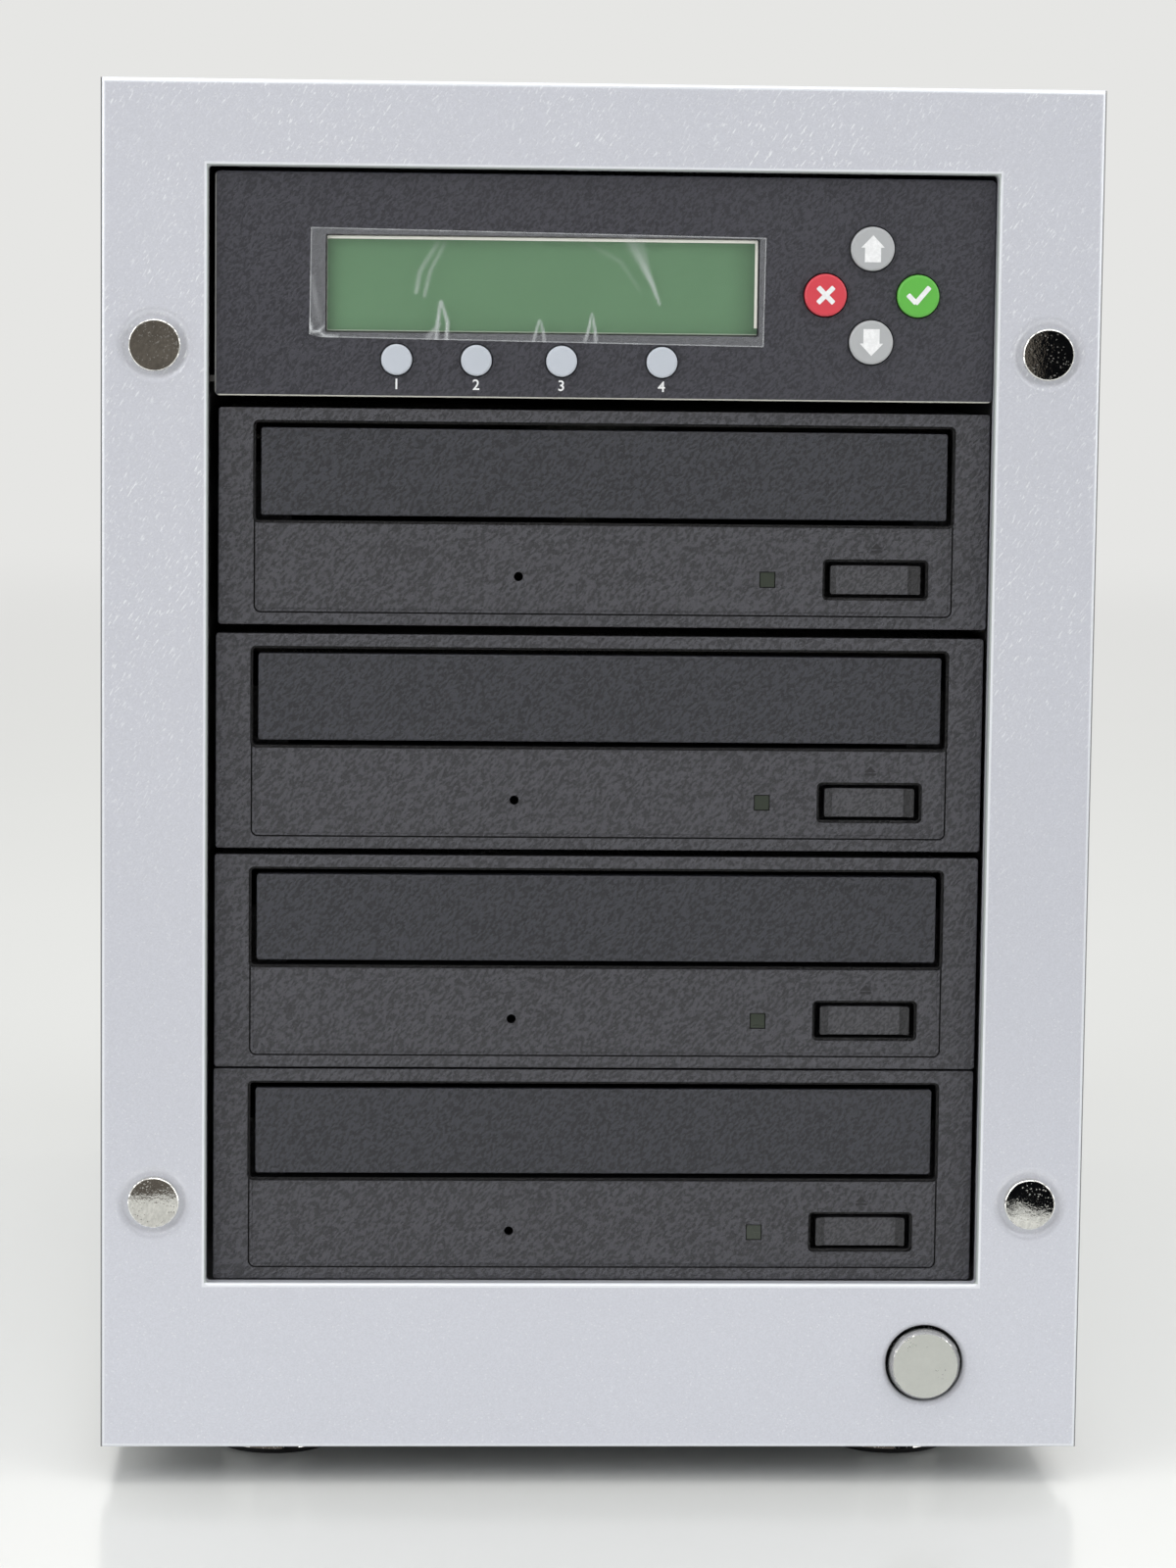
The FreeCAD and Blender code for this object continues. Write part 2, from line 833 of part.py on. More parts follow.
def rear_panel():
    """Return the rear panel with its openings for the power supply and the fan."""
    plate = box(-frame_half, frame_half, rear_inner, body_depth, frame_floor, frame_top)
    y0, y1 = rear_inner - overrun, body_depth + overrun
    width = supply_width - 2 * supply_border
    height = supply_height - 2 * supply_border
    cuts = [
        slab(0, width, y0, y1, supply_fan_z, height - 2 * supply_gusset),
        slab(0, width - 2 * supply_gusset, y0, y1, supply_fan_z, height),
        rod_y(fan_bore_radius, 0, case_fan_z, y0, y1),
    ]
    cuts += rear_holes(y0, y1, cover_screw_places() + supply_screw_places() + fan_screw_places(0, case_fan_z))
    return plate.cut(cuts)


def drive_screw_places(index):
    """Return (side, depth, height) of the four screws that hold one drive."""
    height = drive_bottoms[index] + boss_height
    return [(side, boss_front_depth + step * boss_pitch, height) for side in (-1, 1) for step in (0, 1)]


def drive_cage():
    """Return the drive cage: two side walls with bosses, flanges and the upper shelf."""
    pieces = []
    cuts = []
    wall_outer = cage_inner + sheet
    flange_outer = wall_outer + cage_flange
    foot_top, face_end = base_top + sheet, cage_front + sheet
    for side in (-1, 1):
        pieces.append(side_box(side, cage_inner, wall_outer, cage_front, cage_depth, base_top, cage_top))
        pieces.append(side_box(side, cage_inner, flange_outer, cage_front, cage_depth, base_top, foot_top))
        pieces.append(side_box(side, cage_inner, flange_outer, cage_front, face_end, base_top, cage_top))
    pieces.append(box(-cage_inner, cage_inner, shelf_front_depth, cage_depth, shelf_floor, shelf_top))
    for index in range(drive_count):
        for side, depth, height in drive_screw_places(index):
            case_side = side * case_width / 2 + drive_shifts[index]
            pieces.append(rod_x(boss_radius, depth, height, case_side, side * cage_inner))
            far = side * (wall_outer + overrun)
            cuts.append(rod_x(screw_hole_radius, depth, height, case_side - side * overrun, far))
    bolt_hole_radius = bolt_shank_radius + bolt_clearance
    for x, z in bolt_places:
        cuts.append(rod_y(bolt_hole_radius, x, z, cage_front - overrun, 2 * bolt_shank_length))
    return fused(pieces).cut(cuts)


def screw_master():
    """Return one pan head screw: its seat at the origin and its head along +Z."""
    head = Part.makeCylinder(screw_head_radius, screw_head_height)
    rim = [edge for edge in head.Edges if edge.BoundBox.ZMin > screw_head_height / 2]
    head = head.makeFillet(screw_head_round, rim)
    shank = Part.makeCylinder(screw_shank_radius, screw_length, V(0, 0, -screw_length))
    half_length = screw_cross_length / 2
    half_width = screw_cross_width / 2
    low = screw_head_height - screw_cross_depth
    high = screw_head_height + overrun
    cross = [box(-half_length, half_length, -half_width, half_width, low, high),
             box(-half_width, half_width, -half_length, half_length, low, high)]
    return fused([head, shank]).cut(cross)


def case_screws():
    """Return every pan head screw of the case."""
    master = screw_master()
    seats = []
    for index in range(drive_count):
        for side, depth, height in drive_screw_places(index):
            seats.append((V(side * (cage_inner + sheet), depth, height), V(side, 0, 0)))
    for x, z in cover_screw_places():
        seats.append((V(x, body_depth + cover_sheet, z), Y_AXIS))
    for x, z in supply_screw_places():
        seats.append((V(x, body_depth, z), Y_AXIS))
    tab = grille_standoff + grille_wire_radius
    for x, z in fan_screw_places(0, case_fan_z):
        seats.append((V(x, body_depth + tab, z), Y_AXIS))
    for x, z in fan_screw_places(supply_fan_x, supply_fan_z):
        seats.append((V(x, rear_inner + tab, z), Y_AXIS))
    for x, y in foot_places():
        seats.append((V(x, y, frame_floor - cup_web), -Z_AXIS))
    screws = []
    for place, outward in seats:
        screw = master.copy()
        screw.Placement = FreeCAD.Placement(place, FreeCAD.Rotation(Z_AXIS, outward))
        screws.append(screw)
    return Part.makeCompound(screws)


def foot_cups():
    """Return the four chrome cups of the feet."""
    cup_bore = cup_top_radius - cup_wall
    web_floor = frame_floor - cup_web
    cups = []
    for x, y in foot_places():
        profile = [(cup_bore, pad_flange), (cup_radius, pad_flange), (cup_top_radius, frame_floor),
                   (screw_hole_radius, frame_floor), (screw_hole_radius, web_floor), (cup_bore, web_floor)]
        cups.append(turned_z(profile, x, y))
    return Part.makeCompound(cups)


def foot_pads():
    """Return the four rubber pads that stand on the floor."""
    plug_radius = cup_top_radius - cup_wall - pad_fit
    pads = []
    for x, y in foot_places():
        plug_top = pad_flange + pad_plug_height
        profile = [(pad_relief_radius, 0), (pad_radius, 0), (pad_radius, pad_flange),
                   (plug_radius, pad_flange), (plug_radius, plug_top), (pad_relief_radius, plug_top)]
        pads.append(turned_z(profile, x, y))
    return Part.makeCompound(pads)


def ledged_hole(width, height, inner_radius, x, z, through):
    """Return the cutters of a hole in a bezel with a thin ledge round it."""
    inner_width, inner_height = width - 2 * ledge, height - 2 * ledge
    return [rounded_bar(width, height, inner_radius + ledge, x, z, -overrun, ledge_depth),
            rounded_bar(inner_width, inner_height, inner_radius, x, z, 0, through)]


def groove(line, depth):
    """Return the cutter of a U-shaped groove that opens into the tray slot."""
    height = slot_centre_z - groove_floor
    middle = groove_floor + height / 2
    ring = rounded_bar(groove_width, height, groove_corner_radius, 0, middle, -overrun, depth)
    core = rounded_bar(groove_width - 2 * line, height, groove_corner_radius - line,
                       0, middle + line, -2 * overrun, depth + overrun)
    return ring.cut(core)


def drive_bezel():
    """Return a drive's front bezel with its tray slot, grooves and holes."""
    middle = bezel_height / 2
    bezel = rounded_bar(bezel_width, bezel_height, bezel_corner_radius, 0, middle, 0, bezel_plate)
    bezel = bezel.makeFillet(bezel_edge_round, edges_at_y(bezel, 0))
    through = bezel_plate + overrun
    cuts = ledged_hole(slot_width, slot_height, slot_inner_radius, 0, slot_centre_z, through)
    cuts.extend(ledged_hole(eject_hole_width, eject_hole_height, eject_inner_radius, eject_x, eject_z, through))
    cuts.append(groove(groove_line, groove_depth))
    cuts.append(groove(groove_shelf, groove_shelf_depth))
    cuts.append(rod_y(pinhole_radius, pinhole_x, pinhole_z, -overrun, through))
    lamp_hole = lamp_size + 2 * lamp_clearance
    cuts.append(slab(lamp_x, lamp_hole, -overrun, through, lamp_z, lamp_hole))
    return bezel.cut(cuts)


def eject_button():
    """Return an eject button: a dished cap on a flat stem."""
    cap = rounded_bar(eject_width, eject_height, eject_corner_radius, eject_x, eject_z, 0, eject_depth)
    inner = eject_dish_width / 2
    outer = inner + eject_dish_end
    low = eject_z - eject_height
    profile = [(-outer, -overrun), (-outer, 0), (-inner, eject_dish_depth),
               (inner, eject_dish_depth), (outer, 0), (outer, -overrun)]
    corners = [V(eject_x + x, y, low) for x, y in profile]
    dish = Part.Face(Part.makePolygon(corners + corners[:1])).extrude(V(0, 0, 2 * eject_height))
    stem_end = eject_depth + eject_stem_length
    stem = slab(eject_x, eject_stem_width, eject_depth, stem_end, eject_z, eject_stem_height)
    return fused([cap.cut(dish), stem])


def drive_lamp():
    """Return a drive's lamp: a clear square block behind the bezel."""
    return slab(lamp_x, lamp_size, lamp_setback, rail_start, lamp_z, lamp_size)


def boss_depths():
    """Return the depth of each side screw from a drive's face."""
    first = boss_front_depth - bezel_setback
    return [first, first + boss_pitch]


def drive_case():
    """Return a drive's steel case with its rear sockets and the clamp bridge."""
    base = (bezel_height - case_height) / 2
    top = base + case_height
    half = case_width / 2
    end = bezel_plate + case_length
    outer = box(-half, half, bezel_plate, end, base, top)
    long_edges = [edge for edge in outer.Edges if edge.BoundBox.YLength > case_length / 2]
    outer = outer.makeFillet(case_bend_radius, long_edges)
    inner = box(case_sheet - half, half - case_sheet, bezel_plate - overrun, end - case_sheet,
                base + case_sheet, top - case_sheet)
    bridge_half = clamp_bridge_width / 2
    bridge = box(-half + case_sheet / 2, half - case_sheet / 2, disc_centre_depth - bridge_half,
                 disc_centre_depth + bridge_half, clamp_bridge_z, clamp_bridge_z + clamp_bridge_sheet)
    sockets = []
    for x, width in ((ribbon_x, ribbon_width), (plug_power_x, lead_plug_width)):
        sockets.append(slab(x, width, end - plug_depth, end, plug_z, plug_height))
    case = fused([outer.cut(inner), bridge] + sockets)
    bridge_top = clamp_bridge_z + clamp_bridge_sheet
    cuts = [rod_z(clamp_hole_radius, 0, disc_centre_depth, clamp_bridge_z - overrun, bridge_top + overrun)]
    for side in (-1, 1):
        for depth in boss_depths():
            near = side * (half - 2 * case_sheet)
            cuts.append(rod_x(screw_hole_radius, depth, boss_height, near, side * (half + overrun)))
    return case.cut(cuts)


def drive_tray():
    """Return a disc tray: its front, its plate, the disc recesses and the open slot."""
    half = tray_width / 2
    top = tray_top
    plate = box(-half, half, tray_front_depth, tray_length, tray_floor, top)
    rear_corners = [edge for edge in plate.Edges if edge.BoundBox.YMin > tray_length - overrun
                    and edge.BoundBox.ZLength > tray_plate / 2]
    plate = plate.makeFillet(tray_corner_radius, rear_corners)
    middle = disc_centre_depth
    large_floor = top - disc_recess
    small_floor = large_floor - small_disc_recess
    cuts = [
        rod_z(disc_radius + disc_clearance, 0, middle, large_floor, top + overrun),
        rod_z(small_disc_radius + disc_clearance, 0, middle, small_floor, top + overrun),
        rod_z(tray_slot_half, 0, middle, tray_floor - overrun, top + overrun),
        box(-tray_slot_half, tray_slot_half, disc_centre_depth, tray_length + overrun,
            tray_floor - overrun, top + overrun),
    ]
    front_z = tray_front_floor + tray_front_height / 2
    front = rounded_bar(tray_front_width, tray_front_height, tray_front_corner_radius,
                        0, front_z, 0, tray_front_depth)
    front = front.makeFillet(tray_front_round, edges_at_y(front, 0))
    return fused([plate.cut(cuts), front])


def drive_deck():
    """Return a drive's inner deck: tray rails, cross bars, motor plate and guide rods."""
    inner = tray_width / 2 + runner_clearance
    outer = case_width / 2 - case_sheet - deck_clearance
    front_back = rail_start + cross_bar
    pieces = []
    cuts = []
    lip_floor = tray_top + runner_clearance
    shelf_roof = tray_floor - runner_clearance
    for side in (-1, 1):
        pieces.append(side_box(side, inner, outer, rail_start, rail_end, deck_floor, rail_top))
        pieces.append(side_box(side, inner - rail_lip, outer, rail_start, rail_end, lip_floor, rail_top))
        pieces.append(side_box(side, inner - rail_shelf, outer, rail_start, rail_end, deck_floor, shelf_roof))
        for depth in boss_depths():
            near = side * (outer - rail_screw_depth)
            cuts.append(rod_x(screw_hole_radius, depth, boss_height, near, side * (outer + overrun)))
    pieces.append(box(-inner, inner, rail_start, front_back, deck_floor, cross_bar_top))
    pieces.append(box(-inner, inner, rear_bar_depth, rail_end, deck_floor, cross_bar_top))
    plate_top = motor_plate_floor + motor_plate_sheet
    pieces.append(box(-motor_plate_half, motor_plate_half, rail_start, disc_centre_depth + motor_plate_half,
                      motor_plate_floor, plate_top))
    pieces.append(rod_z(bearing_radius, 0, disc_centre_depth, plate_top, plate_top + bearing_height))
    rod_front = rail_start + cross_bar / 2
    rod_back = rear_bar_depth + cross_bar / 2
    for side in (-1, 1):
        pieces.append(rod_y(guide_rod_radius, side * guide_rod_x, guide_rod_z, rod_front, rod_back))
    deck = fused(pieces)
    bore = spindle_shaft_radius + running_fit
    cuts.append(rod_z(bore, 0, disc_centre_depth, deck_floor, rail_top))
    guide_width = eject_stem_width + 2 * deck_clearance
    guide_height = eject_stem_height + 2 * deck_clearance
    cuts.append(slab(eject_x, guide_width, rail_start - overrun, front_back + overrun, eject_z, guide_height))
    return deck.cut(cuts)


def spindle():
    """Return a drive's spindle: shaft, rotor, turntable and the clamp disc above it."""
    shaft_foot = motor_plate_floor + running_fit
    rotor_roof = rotor_top - rotor_wall
    table_floor = turntable_top - turntable_sheet
    neck = spindle_shaft_radius + rotor_wall
    hub_top = turntable_top + hub_height
    cup = rotor_radius - rotor_wall
    profile = [(0, shaft_foot), (spindle_shaft_radius, shaft_foot), (spindle_shaft_radius, rotor_roof),
               (cup, rotor_roof), (cup, rotor_floor), (rotor_radius, rotor_floor), (rotor_radius, rotor_top),
               (neck, rotor_top), (neck, table_floor), (turntable_radius, table_floor),
               (turntable_radius, turntable_top), (hub_radius, turntable_top), (hub_top_radius, hub_top),
               (0, hub_top)]
    turning = turned_z(profile, 0, disc_centre_depth)
    seat = clamp_bridge_z + clamp_bridge_sheet + clamp_clearance
    foot = clamp_bridge_z - clamp_body_drop
    crown = seat + clamp_disc_height
    clamp_profile = [(0, foot), (clamp_body_radius, foot), (clamp_body_radius, seat),
                     (clamp_disc_radius, seat), (clamp_disc_radius, crown), (0, crown)]
    clamp = turned_z(clamp_profile, 0, disc_centre_depth)
    return Part.makeCompound([turning, clamp])


def pickup_sled():
    """Return a drive's pickup sled with its lens, on the two guide rods."""
    lens_y = disc_centre_depth + lens_start
    half = sled_width / 2
    top = sled_floor + sled_height
    body = box(-half, half, lens_y - sled_front, lens_y + sled_back, sled_floor, top)
    upright = [edge for edge in body.Edges if edge.BoundBox.ZLength > sled_height / 2]
    body = body.makeFillet(sled_round, upright)
    lens_top = top + lens_height
    sled = fused([body, rod_z(lens_radius, 0, lens_y, top, lens_top)])
    cuts = [rod_z(lens_bore_radius, 0, lens_y, lens_top - lens_bore_depth, lens_top + overrun)]
    bore = guide_rod_radius + running_fit
    for side in (-1, 1):
        cuts.append(rod_y(bore, side * guide_rod_x, guide_rod_z, lens_y - sled_width, lens_y + sled_width))
    return sled.cut(cuts)


def placed_drive_piece(shape, index):
    """Return a copy of a drive piece in its bay."""
    piece = shape.copy()
    piece.translate(V(drive_shifts[index], bezel_setback, drive_bottoms[index]))
    return piece


def key_places():
    """Return name, radius and place (x, z) of each key of the control panel."""
    x, z = pad_key_x, pad_key_z
    places = [
        ("key_up", arrow_key_radius, x, z + pad_key_ring),
        ("key_down", arrow_key_radius, x, z - pad_key_ring),
        ("key_cancel", colour_key_radius, x - pad_key_ring, z),
        ("key_confirm", colour_key_radius, x + pad_key_ring, z),
    ]
    for number, column in enumerate(hot_key_columns, start=1):
        places.append(("key_" + str(number), hot_key_radius, column, hot_key_z))
    moved = []
    for name, radius, across, up in places:
        moved.append((name, radius, across + control_shift, up + control_bottom))
    return moved


def control_bezel():
    """Return the control panel's bezel with the display window, key holes and rear lugs."""
    centre_z = control_bottom + control_height / 2
    bezel = rounded_bar(control_width, control_height, control_corner_radius, control_shift, centre_z,
                        control_setback, control_back)
    bezel = bezel.makeFillet(control_edge_round, edges_at_y(bezel, control_setback))
    lugs = []
    lug_reach = control_width / 2 - lug_inset - lug_width / 2
    lug_end = shelf_front_depth + lug_lap
    for side in (-1, 1):
        lug_x = control_shift + side * lug_reach
        lugs.append(slab(lug_x, lug_width, control_back, lug_end, shelf_top + lug_height / 2, lug_height))
    bezel = fused([bezel] + lugs)
    glass_x = window_x + control_shift
    glass_z = window_z + control_bottom
    cuts = [rounded_bar(window_width, window_height, window_corner_radius, glass_x, glass_z,
                        control_setback - overrun, control_back + overrun)]
    for _, radius, x, z in key_places():
        cuts.append(rod_y(radius + key_clearance, x, z, 0, control_back + overrun))
    return bezel.cut(cuts)


def control_key(radius, x, z):
    """Return a round key with a flange behind the bezel and a stem towards its switch."""
    front = control_setback - key_proud
    flange_front = control_back + key_flange_gap
    flange_back = flange_front + key_flange_sheet
    wide = radius + key_flange
    profile = [(0, front), (radius, front), (radius, flange_front), (wide, flange_front), (wide, flange_back),
               (key_stem_radius, flange_back), (key_stem_radius, key_stem_end), (0, key_stem_end)]
    key = turned_y(profile, x, z)
    return key.makeFillet(key_round, edges_at_y(key, front))


def display_module():
    """Return the display: a frame behind the bezel with glass that fills the window."""
    x = window_x + control_shift
    z = window_z + control_bottom
    frame = rounded_bar(display_frame_width, display_frame_height, window_corner_radius, x, z,
                        control_back, control_back + display_frame_depth)
    gap = 2 * display_glass_clearance
    glass_corner = window_corner_radius - display_glass_clearance
    glass = rounded_bar(window_width - gap, window_height - gap, glass_corner, x, z,
                        control_setback + display_glass_setback, control_back)
    return fused([frame, glass])


def display_film():
    """Return the clear film left on the display window."""
    x = film_x + control_shift
    z = film_z + control_bottom
    back = control_setback - film_lift
    return rounded_bar(film_width, film_height, window_corner_radius, x, z, back - film_sheet, back)


def key_board():
    """Return the upright board behind the keys with one small switch for each key."""
    back = key_board_front + key_board_sheet
    middle_z = shelf_top + key_board_height / 2
    pieces = [slab(0, key_board_width, key_board_front, back, middle_z, key_board_height)]
    body_front = key_board_front - tact_height
    for _, _, x, z in key_places():
        pieces.append(slab(x, tact_size, body_front, key_board_front, z, tact_size))
        pieces.append(rod_y(tact_button_radius, x, z, tact_front, body_front))
    return fused(pieces)


def header_depths():
    """Return the depth of each ribbon header on the control board."""
    return [header_first_depth + index * header_pitch for index in range(drive_count)]


def control_board():
    """Return the control board on its spacers, with chips and sockets."""
    half = board_width / 2
    end = board_front_depth + board_length
    pieces = [box(-half, half, board_front_depth, end, board_floor, board_top)]
    for x in (spacer_inset - half, half - spacer_inset):
        for y in (board_front_depth + spacer_inset, end - spacer_inset):
            pieces.append(rod_z(spacer_radius, x, y, shelf_top, board_floor))
    header_z = board_top + header_height / 2
    headers = [(ribbon_x, ribbon_width, depth) for depth in header_depths()]
    headers.append((panel_strip_x, panel_strip_width, panel_strip_depth))
    for x, width, depth in headers:
        front, back = depth - header_depth / 2, depth + header_depth / 2
        pieces.append(slab(x, width, front, back, header_z, header_height))
    for row in range(chip_count):
        y = board_front_depth + chip_lead_gap + row * (chip_size + chip_lead_gap)
        x = chip_lead_gap - half
        pieces.append(box(x, x + chip_size, y, y + chip_size, board_top, board_top + chip_height))
    plug_z = board_top + lead_plug_height / 2
    plug_x = lead_column(drive_count)
    pieces.append(slab(plug_x, board_plug_width, end - lead_plug_depth, end, plug_z, lead_plug_height))
    return fused(pieces)


def power_button():
    """Return the chrome power button."""
    profile = [(0, -power_proud), (power_face_radius, -power_proud), (power_button_radius, 0),
               (power_button_radius, power_length), (0, power_length)]
    return turned_y(profile, power_x, power_place_z)


def button_housing():
    """Return the housing that guides the power button and holds its contacts."""
    start = frame_depth + sheet
    flange_back = start + housing_flange_sheet
    end = flange_back + housing_length
    bore_end = power_length + power_travel + housing_stop_gap
    flange = rounded_bar(housing_flange_width, housing_flange_height, housing_corner_radius, power_x,
                         power_place_z, start, flange_back)
    barrel = rod_y(housing_radius, power_x, power_place_z, start, end)
    bore = rod_y(power_button_radius + housing_bore_clearance, power_x, power_place_z, 0, bore_end)
    pieces = [flange, barrel]
    for side in (-1, 1):
        x = power_x + side * housing_radius / 2
        tip = end + terminal_length
        pieces.append(slab(x, terminal_sheet, end - terminal_sheet, tip, power_place_z, terminal_width))
    return fused(pieces).cut(bore)


def fan_frame(x, z, end):
    """Return a fan's square frame with its bore, struts and bearing, ending at a depth."""
    start = end - fan_thickness
    block = rounded_bar(fan_size, fan_size, fan_corner_radius, x, z, start, end)
    middle = slab(x, fan_size + overrun, start + fan_flange, end - fan_flange, z, fan_size + overrun)
    waist = middle.cut(rod_y(fan_size / 2, x, z, start, end))
    bore = rod_y(fan_bore_radius, x, z, start - overrun, end + overrun)
    frame = block.cut([waist, bore])
    hub_front = end - fan_hub_plate
    reach = fan_bore_radius + fan_size / 2
    struts = [
        slab(x, reach, hub_front, end, z, fan_strut_width),
        slab(x, fan_strut_width, hub_front, end, z, reach),
    ]
    hub = rod_y(fan_hub_radius, x, z, hub_front, end)
    boss = rod_y(fan_boss_radius, x, z, hub_front - fan_boss_length, end)
    frame = fused([frame, hub, boss] + struts)
    bearing = rod_y(fan_shaft_radius + running_fit, x, z, start, end - fan_hub_gap)
    cuts = [bearing] + rear_holes(start - overrun, end + overrun, fan_screw_places(x, z))
    return frame.cut(cuts)


def fan_rotor(x, z, end):
    """Return a fan's rotor: hub, shaft and twisted blades."""
    start = end - fan_thickness + fan_front_gap
    hub_back = end - fan_hub_plate - fan_hub_gap
    hub = rod_y(fan_hub_radius, x, z, start, hub_back)
    pocket_front = end - fan_hub_plate - fan_boss_length - fan_hub_gap
    pocket = rod_y(fan_boss_radius + fan_hub_gap, x, z, pocket_front, end)
    shaft = rod_y(fan_shaft_radius, x, z, pocket_front - fan_hub_gap, end - 2 * fan_hub_gap)
    tip = fan_bore_radius - fan_blade_tip_gap
    ring = rod_y(tip, x, z, start, hub_back)
    core = rod_y(fan_hub_radius - fan_hub_gap, x, z, start, hub_back)
    middle = (start + hub_back) / 2
    blades = []
    for index in range(fan_blade_count):
        corner = V(-fan_blade_chord / 2, -fan_blade_sheet / 2, 0)
        blade = Part.makeBox(fan_blade_chord, fan_blade_sheet, tip, corner)
        blade.rotate(V(0, 0, 0), Z_AXIS, fan_blade_pitch)
        blade.rotate(V(0, 0, 0), Y_AXIS, index * TURN / fan_blade_count)
        blade.translate(V(x, middle, z))
        blades.append(blade.common(ring).cut(core))
    return fused([hub.cut(pocket), shaft] + blades)


def fan_grille(x, z, face):
    """Return a wire grille with four screw tabs, standing on a face."""
    centre_y = face + grille_standoff + grille_wire_radius
    ring_y = centre_y + grille_ring_lift
    pieces = []
    for ring in range(grille_rings):
        radius = grille_inner_radius + ring * grille_ring_pitch
        pieces.append(Part.makeTorus(radius, grille_wire_radius, V(x, ring_y, z), Y_AXIS))
    corner = fan_hole_spacing / math.sqrt(2)
    for index in range(grille_spokes):
        angle = math.radians(TURN / 8 + index * TURN / grille_spokes)
        along = V(math.cos(angle), 0, math.sin(angle))
        middle = V(x, centre_y, z)
        pieces.append(rod(grille_spoke_radius, middle + along * (grille_inner_radius - grille_spoke_radius),
                          middle + along * (corner - grille_tab_radius + grille_spoke_radius)))
        tab = middle + along * corner
        pieces.append(rod_y(grille_tab_radius, tab.x, tab.z, face, centre_y))
    holes = rear_holes(face - overrun, centre_y + overrun, fan_screw_places(x, z))
    return fused(pieces).cut(holes)


def supply_case():
    """Return the power supply's steel case with its openings and vents."""
    half = supply_width / 2
    top = supply_bottom + supply_height
    outer = box(-half, half, supply_front, rear_inner, supply_bottom, top)
    inner = box(supply_sheet - half, half - supply_sheet, supply_front + supply_sheet, supply_back_inner,
                supply_bottom + supply_sheet, top - supply_sheet)
    y0, y1 = supply_back_inner - overrun, rear_inner + overrun
    cuts = [inner, rod_y(fan_bore_radius, supply_fan_x, supply_fan_z, y0, y1)]
    cuts += rear_holes(y0, y1, supply_screw_places() + fan_screw_places(supply_fan_x, supply_fan_z))
    gap = 2 * supply_fit
    inlet = (inlet_body_width, inlet_body_height, inlet_z)
    switch = (switch_width, switch_height, switch_z)
    for width, height, z in (inlet, switch):
        cuts.append(slab(inlet_x, width + gap, y0, y1, supply_bottom + z, height + gap))
    front0, front1 = supply_front - overrun, supply_front + supply_sheet + overrun
    slot_x = lead_column(drive_count / 2)
    slot_long = drive_count * lead_pitch + 2 * lead_radius + gap
    slot_high = 2 * lead_radius + gap
    cuts.append(slab(slot_x, slot_long, front0, front1, supply_bottom + supply_lead_z, slot_high))
    for index in range(supply_vent_count):
        x = half - supply_vent_margin - index * supply_vent_pitch
        low = supply_fan_z - supply_vent_length / 2
        cuts.append(box(x - supply_vent_width, x, front0, front1, low, low + supply_vent_length))
    return outer.cut(cuts)


def supply_board():
    """Return the power supply's board with its transformer, capacitors and heat sinks."""
    start = supply_board_front
    end = start + supply_board_length
    half = supply_board_width / 2
    floor = supply_bottom + supply_sheet
    board_base = floor + supply_board_lift
    top = board_base + supply_board_sheet
    pieces = [box(-half, half, start, end, board_base, top)]
    for x in (supply_post_inset - half, half - supply_post_inset):
        for y in (start + supply_post_inset, end - supply_post_inset):
            pieces.append(rod_z(supply_post_radius, x, y, floor, board_base))
    middle = (start + end) / 2
    coil_front, coil_back = middle - transformer_length / 2, middle + transformer_length / 2
    coil_z = top + transformer_height / 2
    pieces.append(slab(0, transformer_width, coil_front, coil_back, coil_z, transformer_height))
    for step in (0, 1):
        x = half - capacitor_radius - capacitor_gap
        y = start + capacitor_radius + capacitor_gap + step * (2 * capacitor_radius + capacitor_gap)
        pieces.append(rod_z(capacitor_radius, x, y, top, top + capacitor_height))
    near = transformer_width / 2 + capacitor_gap
    sink_y = middle - heatsink_length / 2
    sink_top = top + heatsink_height
    sink_end = sink_y + heatsink_length
    for side in (-1, 1):
        pieces.append(side_box(side, near, near + heatsink_sheet, sink_y, sink_end, top, sink_top))
        for fin in range(int(heatsink_length / heatsink_fin_pitch)):
            y = sink_y + fin * heatsink_fin_pitch
            far = near + heatsink_sheet + heatsink_fin
            pieces.append(side_box(side, near, far, y, y + heatsink_fin_sheet, top + heatsink_fin, sink_top))
    return fused(pieces)


